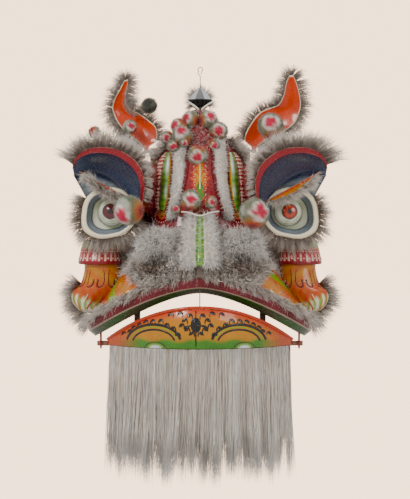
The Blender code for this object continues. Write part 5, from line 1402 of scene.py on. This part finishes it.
def buildEars():
    for side, sign in sides:
        body = f"ear_{side}"
        place = earSheet(side, sign)
        shell = sheetPiece(f"earCloth_{side}", 28, 64, place, looks["silk"], earPaint, wall=3.0)
        shell.modifiers["wall"].offset = 0
        finish(shell, body, "paper_orange", f"ear_{side}")
        ends = [(sign * x, -115, -216) for x in (107, 117, 129, 139)]
        finish(tube(f"earPin_{side}", ends, 3.0, looks["bamboo"], 14), body, "bamboo")
        table = np.array(earRows[side], float)
        inner = xyz(table[2:, 0], -115 + table[2:, 4], table[2:, 1])
        outer = xyz(table[1:, 2], -115 + table[1:, 4], table[1:, 3])
        rim = np.concatenate([inner, outer[::-1]])
        run = np.gradient(rim, axis=0)
        out = unit(xyz(-run[:, 2], 0, run[:, 0]))
        hairRow(f"earHair_{side}", f"ear_fur_{side}", body, mirrored(rim - out * 2, sign), mirrored(out, sign),
                (0, 1, 0), **earFur)
        if side == "left":
            count = 420
            u, v = rng.uniform(0.02, 0.34, count), rng.uniform(0.5, 0.86, count)
            p, n = onSurface(place, u, v)
            dirs = unit(n * 0.6 + np.array([0.9, 0, 0.25]) + rng.normal(size=(count, 3)) * 0.3)
            tuft = strandMesh("earTuft_left", p, dirs, rng.uniform(10, 17, count), 0.55,
                              rng.normal(size=(count, 3)) * 0.1, hairColours(count), looks["fur"], 2)
            finish(tuft, body, "fur_grey")
    print("ears made")


def ballSpots(count):
    # evenly spread directions over a ball
    k = np.arange(count) + 0.5
    z = 1 - 2 * k / count
    turn = math.pi * (1 + 5 ** 0.5) * k
    flat = np.sqrt(1 - z * z)
    return xyz(flat * np.cos(turn), flat * np.sin(turn), z)


# pompoms: name, body, centre, radius, stem end, and where the red heart and the warm band lie
balls = [
    ("pompom_brow_left", "head", (-165, -398, -369), 38, (-139.5, -326.2, -366), (-0.55, -0.45), (0.85, -0.1)),
    ("pompom_brow_right", "head", (126, -408, -376), 38, (139.5, -326.2, -366), (0.45, 0.15), (-0.1, -0.95)),
    ("pompom_brow_top", "head", (-250, -300, -182), 18, (-249, -317.5, -231.2), (0.1, -0.6), (-0.2, 0.2)),
    ("pompom_ridge_top", "head", (-6, -252, -234), 27, (-4, -150, -240), (0.0, -0.25), (0.2, 0.95)),
    ("pompom_ridge_low", "head", (-22, -362, -344), 27, (-18, -250, -345), (0.05, 0.1), (-0.3, -0.95)),
    ("pompom_ridge_side", "head", (26, -352, -349), 17, (24, -250, -350), (0.2, -0.1), (-0.7, 0.6)),
    ("pompom_ridge_end", "head", (-56, -344, -366), 15, (-50, -250, -366), (0.0, 0.2), (0.9, 0.2)),
    ("ear_pompom_left", "ear_left", (-172, -150, -160), 21, (-170, -105.2, -158), (0.15, 0.1), (0.8, -0.6)),
    # this ball hangs behind the ear and is painted dark all over: painted shade
    ("ear_pompom_dark", "ear_left", (-125, -134, -106), 23, (-139, -109.2, -147), None, None),
    ("ear_pompom_right", "ear_right", (172, -164, -158), 35, (172, -102.7, -158), (0.1, 0.35), (0.2, -0.95)),
    ("pompom_cluster_left", "head", (-24, -139, -140), 24, (0, -60, -190), (-0.6, 0.2), (0.85, -0.2)),
    ("pompom_cluster_left", "head", (-52, -152, -158), 24, (0, -60, -190), (-0.6, 0.1), (0.6, 0.6)),
    ("pompom_cluster_left", "head", (-80, -160, -186), 20, (0, -60, -190), (-0.2, -0.2), (0.7, 0.7)),
    ("pompom_cluster_left", "head", (-44, -190, -184), 28, (0, -60, -190), (-0.1, 0.45), (0.4, -0.75)),
    ("pompom_cluster_left", "head", (-66, -210, -209), 17, (0, -60, -190), (0.1, -0.1), (0.9, 0.3)),
    ("pompom_cluster_left", "head", (-38, -222, -203), 13, (0, -60, -190), (0.1, -0.2), (0.9, 0.3)),
    ("pompom_cluster_right", "head", (20, -140, -142), 26, (0, -60, -190), (0.4, 0.5), (-0.9, -0.1)),
    ("pompom_cluster_right", "head", (46, -158, -170), 26, (0, -60, -190), (0.05, 0.1), (-0.6, -0.75)),
    ("pompom_cluster_right", "head", (34, -206, -206), 17, (46, -158, -170), (0.2, -0.3), (-0.7, 0.6)),
]
pompomLook = {"strands": 0.80, "longest": 1100, "shortest": 300, "tuft": 5.0, "thick": 0.62}


def ballPaint(face, heart, band):
    # mottled wool, with a warm band and a pink heart ringed by white; a ball without a heart is painted black and dark
    # olive all over, as painted shade
    patch = rng.normal(size=(5, 3))
    blot = np.sin(face @ patch.T * 3.2).mean(axis=1)
    # no heart: the whole ball in painted shade
    if heart is None:
        return mix("black", tone("olive") * 2, 0.5 + blot)
    warm = degreesFrom(face, (band[0], -0.35, band[1]))
    rear = degreesFrom(face, (-band[0], 0.9, 0.2))
    toHeart = (heart[0], -math.sqrt(max(0.05, 1 - heart[0] ** 2 - heart[1] ** 2)), heart[1])
    near = degreesFrom(face, toHeart) + 7 * np.sin(face @ patch[0] * 5)
    return painted(mix("woolGrey", "woolGreen", 0.5 + 1.6 * blot), ("white", step(blot, 0.30, 0.2) * 0.4),
                   (tone("yellow") * 0.75, step(-warm, -50, 18) * 0.9), ("orange", step(-warm, -34, 12)),
                   ("red", step(-warm, -20, 9)), ("white", step(-near, -42, 10) * 0.75),
                   ("magenta", step(-near, -31, 6)), ("magenta", step(-rear, -30, 10)))


def ballSheet(centre, radius):
    def place(u, v):
        level, turn = math.pi * v, math.tau * u
        return centre + radius * xyz(np.sin(level) * np.cos(turn), np.sin(level) * np.sin(turn), np.cos(level))
    return place


def buildPompoms():
    made, springs = {}, {}
    for name, body, centre, radius, stemEnd, heart, band in balls:
        centre = np.array(centre, float)
        count = int(np.clip(radius ** 2 * pompomLook["strands"], pompomLook["shortest"], pompomLook["longest"]))
        face = ballSpots(count)
        face = unit(face + rng.normal(size=face.shape) * 0.03)
        shade = ballPaint(face, heart, band)
        dirs = unit(face + rng.normal(size=face.shape) * 0.34)
        reach = pompomLook["tuft"] * (0.8 if radius < 18 else 1.0)
        number = made.get(name, 0)
        made[name] = number + 1
        # wool roots at 0.8 and the core under the wool at 0.75 of the ball's colour: painted shade deep in the pile
        wool = strandMesh(f"wool_{name}_{number}", centre + face * (radius - reach * 0.95), dirs,
                          reach * rng.uniform(0.75, 1.1, count), pompomLook["thick"],
                          rng.normal(size=face.shape) * 0.2, (shade * 0.8, shade), looks["wool"], 2)
        core = sheetPiece(f"core_{name}_{number}", 20, 12, ballSheet(centre, radius - reach * 0.8), looks["wool"],
                          lambda u, v, p: shade[(unit(p - centre) @ face.T).argmax(axis=1)] * 0.75,
                          lambda p: p - Vector(centre), merged=True)
        finish(wool, body, "wool")
        finish(core, body, "wool", *([] if number else [name]))
        run = np.array(stemEnd, float) - centre
        turns = max(4, int(np.linalg.norm(run) / 5))
        t = np.linspace(0, 1, turns * 7)
        a = unit(np.cross(run, (0.2, 0.9, 0.3)))
        b = unit(np.cross(run, a))
        wind = t * math.tau * turns
        coil = centre + np.outer(t, run) + 2.0 * (np.outer(np.cos(wind), a) + np.outer(np.sin(wind), b))
        outside = np.linalg.norm(coil - centre, axis=1) > radius * 0.85
        springs.setdefault(body, Strokes()).stroke(coil[outside], unit(run), 0.5, "silver", 0.5, 4)
    for body, spring in springs.items():
        finish(spring.make(f"pompomSprings_{body}", looks["spring"]), body, "wire")
    print("pompoms made")


jawLook = {"y": -262.0, "z": -684.0, "reach": 158.0, "rise": 84.0, "half": 226.0, "end": 0.97, "bow": 2.1,
           "hairs": 5400, "hairLength": 331.0, "hairThick": 0.74, "tufts": 46, "spread": 0.95}


def jawArc(share, reach, rise, back=11.0, drop=0.0):
    share = np.asarray(share, float)
    bow = 1 - np.abs(share) ** jawLook["bow"]
    y = jawLook["y"] - back - reach * jawLook["reach"] * bow
    return xyz(share * jawLook["half"], y, jawLook["z"] - drop + rise * jawLook["rise"] * bow)


def jawFoot(share):
    # the pan's lower edge, where the beard hangs
    return jawArc(share, 0.88, -0.05, 10, 2)


def jawSheet(u, v):
    share = jawLook["end"] * (-1 + 2 * u)
    start = xyz(share * jawLook["half"], jawLook["y"] - 7, jawLook["z"])
    foot = jawFoot(share)
    stack = np.stack([start, start + (foot - start) * 0.9, foot, jawArc(share, 0.955, 0.14, 10.6, 1.6),
                      jawArc(share, 1.0, 0.35, drop=1), jawArc(share, 1.04, 0.7), jawArc(share, 1, 1, drop=-1)],
                     axis=1)
    return alongRows(stack, 6 * v)


def jawPaint(u, v, p):
    # orange at the rim, yellow below it and green along the foot
    x, z = np.abs(p[:, 0]), p[:, 2]
    share = x / jawLook["half"]
    bow = 1 - share ** jawLook["bow"]
    high = np.clip((z - jawLook["z"]) / (jawLook["rise"] * np.maximum(bow, 0.03)), 0, 1.1)
    disc, above = np.hypot(x - 103, (z + 691) * 1.5), step(z, -689, 3)
    return painted(mix("green", "yellow", step(z, -670 + 3 * np.sin(x * 0.1), 9)),
                   ("black", step(-disc, -26, 3) * above), ("leaf", step(-disc, -22, 3) * above),
                   ("silver", step(-disc, -14, 4) * above), ("amber", step(high, 0.74, 0.25) * 0.7),
                   ("orange", step(high, 0.90, 0.14)), ("orange", step(share, 0.74, 0.25) * 0.9),
                   ("deepRed", step(-v, -0.30, 0.02)))


def onJaw(u, v):
    # a place on the pan's outer face
    p, n = onSurface(jawSheet, u, v)
    return p + n * 1.5, n


def buildJaw():
    pan = sheetPiece("jawBowl", 96, 44, jawSheet, looks["paint"], jawPaint, lambda p: (0, p[1] + 262, 0), wall=3.0)
    pan.modifiers["wall"].offset = 0
    finish(pan, "jaw", "painted_cloth", "jaw_pan")
    share = np.linspace(-0.97, 0.97, 34)
    rim = jawArc(share, 1.0, 1.0, drop=-1) + (0, 0, 4.4)
    bar = tube("jawRimBar", rim, 4.0, looks["paint"], 12, tone("orange") * 0.8 + tone("red") * 0.2, 3)
    finish(bar, "jaw", "paper_red", "jaw_rim")
    rod = tube("jawDowel", [(x, -262, -684) for x in np.linspace(-246, 246, 9)], 6.0, looks["bamboo"], 20, smooth=2)
    finish(rod, "jaw", "bamboo", "jaw_rod")
    marks = Strokes()
    commas = [(171, 316), (180.5, 315), (190, 317.5), (185, 322), (161, 322.5), (153, 322.5), (146, 323),
              (139.5, 325.6), (134, 328.5), (130, 332), (124, 334), (167, 326.5), (173.5, 330), (178, 335.5),
              (187.5, 331), (192, 335), (182, 327)]
    spots = np.array(commas + [(393 - x, y) for x, y in commas])
    # u and v turned to mm across the pan and up it
    panWide, panTall = 438, 120
    turn, size = np.linspace(0.1, 3.7, 16), np.linspace(2.0, 7.0, 16)
    for u, v in zip(*pinned(jawSheet, spots, (0.02, 0.98), (0.36, 0.97))):
        way = 1 if u > 0.5 else -1
        marks.stroke(*onJaw(u + way * np.cos(turn) * size / panWide, v + np.sin(turn) * size / panTall),
                     np.linspace(5.0, 0.8, 16), "black", 0.9)
    middle = pinned(jawSheet, (196, 325), (0.3, 0.7), (0.36, 0.97))
    for reach in (10.0, 7.5, 5.0, 2.2):
        turn = np.linspace(0, math.tau, 26)
        marks.stroke(*onJaw(middle[0] + np.cos(turn) * reach / panWide, middle[1] + np.sin(turn) * reach / 118),
                     2.0, "black", 0.9)
    marks.stroke(*onJaw(middle[0][0], np.linspace(0.42, 0.97, 12)), 1.6, "black", 0.8)
    for way in (-1, 1):
        t = np.linspace(0, 1, 14)
        marks.stroke(*onJaw(middle[0] + way * (0.022 + 0.045 * t), middle[1] - 0.03 * t),
                     0.3 + 2.6 * np.sin(math.pi * t) ** 0.8, "black", 0.8)
        arc = np.radians(np.linspace(8, 172, 40))
        for reachX, reachZ, wide, shade in ((27, 18, 3.2, "black"), (21, 13, 2.4, "black"),
                                            (24, 15.5, 1.2, "leaf")):
            spot = np.stack([196.5 + way * 42.5 + np.cos(arc) * reachX, 342.5 - np.sin(arc) * reachZ], axis=-1)
            u, v = pinned(jawSheet, spot, (0.05, 0.95), (0.34, 0.9))
            order = np.argsort(u)
            smoothV = np.convolve(np.pad(v[order], 2, mode="edge"), np.ones(5) / 5, mode="valid")
            marks.stroke(*onJaw(u[order], smoothV), wide, shade, 0.8)
    finish(marks.make("jawMarks", looks["marks"]), "jaw", "painted_cloth")

    count = jawLook["hairs"]
    share = rng.uniform(-jawLook["spread"], jawLook["spread"], count)
    root = jawFoot(share) + xyz(0, rng.uniform(-3.5, 5.5, count), -1.5)
    full = 2 * jawLook["spread"]
    tuft = ((share / full + 0.5) * jawLook["tufts"] + rng.normal(size=count) * 0.4).astype(int)
    tuft = tuft.clip(0, jawLook["tufts"] - 1)
    reach = rng.uniform(0.88, 1.0, jawLook["tufts"])
    lean = rng.normal(size=(jawLook["tufts"], 3)) * (0.019, 0.03, 0)
    aim = ((tuft + 0.5) / jawLook["tufts"] - 0.5) * full
    gather = xyz((aim - share) * jawLook["half"] * 0.8 / jawLook["hairLength"], 0, 0)
    dirs = unit(np.array([0, -0.02, -1.0]) + lean[tuft] * 0.4 + rng.normal(size=(count, 3)) * 0.018)
    long = jawLook["hairLength"] * reach[tuft] * rng.uniform(0.5, 1.0, count) ** 0.22
    bend = gather + lean[tuft] + rng.normal(size=(count, 3)) * 0.014
    bend[:, 2] = 0
    lock = rng.uniform(size=170)[((share / full + 0.5) * 169).astype(int)] * 0.75 + rng.uniform(0, 0.25, count)
    low, high = mix("beardDark", "beardLight", lock), mix(tone("beardLight") * 0.75, "white", lock)
    hair = strandMesh("beardHair", root, dirs, long, jawLook["hairThick"] * rng.uniform(0.6, 1.25, count), bend,
                      (low, high), looks["whiteFur"], 3, (1.6, 1.3), 0.35)
    finish(hair, "jaw", "fur_grey", "beard")

    def beardSheet(u, v):
        top = jawFoot(0.94 * (-1 + 2 * u)) + xyz(0, 2.5, -2 - 130 * v)
        return top + xyz(0, 1.8 * np.sin(u * 150), -9 * np.abs(np.sin(u * 71)) * v)

    under = sheetPiece("beardUnder", 150, 10, beardSheet, looks["fur"],
                       lambda u, v, p: mix("furMid", "furLight", 0.3 + 0.3 * np.sin(u * 150)), wall=1.2)
    finish(under, "jaw", "fur_grey")
    print("jaw made")


def soften(piece):
    edges = piece.modifiers.new("softEdges", "BEVEL")
    edges.width = 0.0012
    edges.segments = 2
    edges.limit_method = "ANGLE"
    edges.angle_limit = math.radians(40)


def buildStrap(node, side):
    # a softened cloth strap in the form of the plain plate
    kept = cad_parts[node]
    shape = bmesh.new()
    shape.from_mesh(kept.data)
    shape.transform(kept.matrix_world)
    bmesh.ops.remove_doubles(shape, verts=shape.verts, dist=0.00001)
    bmesh.ops.recalc_face_normals(shape, faces=shape.faces)
    strap = pieceFrom(f"cornerStrap_{side}", shape, looks["strap"], sharp=35)
    soften(strap)
    finish(strap, "head", "paper_red", node)


def buildRig():
    for side, _ in sides:
        buildStrap(f"corner_strap_{side}", side)
        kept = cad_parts[f"jaw_hanger_{side}"]
        for place in kept.material_slots:
            place.material = looks["darkWood"]
        soften(kept)
    ends = [(0, -408, -546), (0, -412.8, -560), (0, -424.4, -576), (0, -431.5, -591)]
    cord = tube("pullCord", ends, 1.3, looks["cord"], 10, smooth=8)
    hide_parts("jaw_cord")
    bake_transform(cord)


print("building")
buildDome()
buildHorn()
buildForehead()
buildEyes()
print("eyes made")
buildMuzzle()
buildPelt()
buildNose()
buildCheeks()
buildEars()
buildPompoms()
buildJaw()
buildRig()

stageLook = {"wall": (4.0, 2.78, 1.86), "ambient": (0.80, 0.76, 0.71), "light": 72.0}


def flatStage(tree, target, socket):
    # the pale wall colour for the camera, softer light for everything else
    seen = nodeIn(tree, "ShaderNodeLightPath").outputs["Is Camera Ray"]
    colour = mixNode(tree, seen, stageLook["ambient"], stageLook["wall"])
    tree.links.new(colour, target.inputs[socket])


paper, tree, shader = shaderOf("studioPaper")
shader.inputs["Base Color"].default_value = (0.02, 0.02, 0.02, 1)
shader.inputs["Roughness"].default_value = 0.95
shader.inputs["Emission Strength"].default_value = 1.0
flatStage(tree, shader, "Emission Color")
shape = bmesh.new()
bmesh.ops.create_grid(shape, x_segments=1, y_segments=1, size=30)
bmesh.ops.translate(shape, vec=(0, 0, -1.30), verts=shape.verts)
floor = pieceFrom("studioFloor", shape, paper)

world = bpy.data.worlds.new("paleStudio")
world.use_nodes = True
flatStage(world.node_tree, world.node_tree.nodes["Background"], "Color")
bpy.context.scene.world = world


def areaLight(name, place, target, size, power, colour=(1, 0.97, 0.93)):
    lamp = bpy.data.lights.new(name, "AREA")
    lamp.shape = "DISK"
    lamp.size = size
    lamp.energy = power
    lamp.color = colour
    holder = bpy.data.objects.new(name, lamp)
    bpy.context.scene.collection.objects.link(holder)
    holder.location = place
    holder.rotation_euler = (Vector(target) - Vector(place)).to_track_quat("-Z", "Y").to_euler()


areaLight("keyLight", (-1.6, -2.6, 1.3), (0, -0.2, -0.45), 1.1, stageLook["light"])
areaLight("fillLight", (2.2, -2.4, 0.4), (0, -0.2, -0.45), 1.6, stageLook["light"] * 0.45)
areaLight("backLight", (0.6, 2.2, 1.2), (0, -0.2, -0.4), 1.4, stageLook["light"] * 0.5)

lens = bpy.data.cameras.new("photoCamera")
lens.lens = 135.3
lens.sensor_width = 36
lens.sensor_fit = "AUTO"
lens.clip_end = 60
camera = bpy.data.objects.new("photoCamera", lens)
bpy.context.scene.collection.objects.link(camera)
camera.location = (0.012, -4.75, -0.460)
camera.rotation_euler = (math.radians(90), 0, 0)
bpy.context.scene.camera = camera
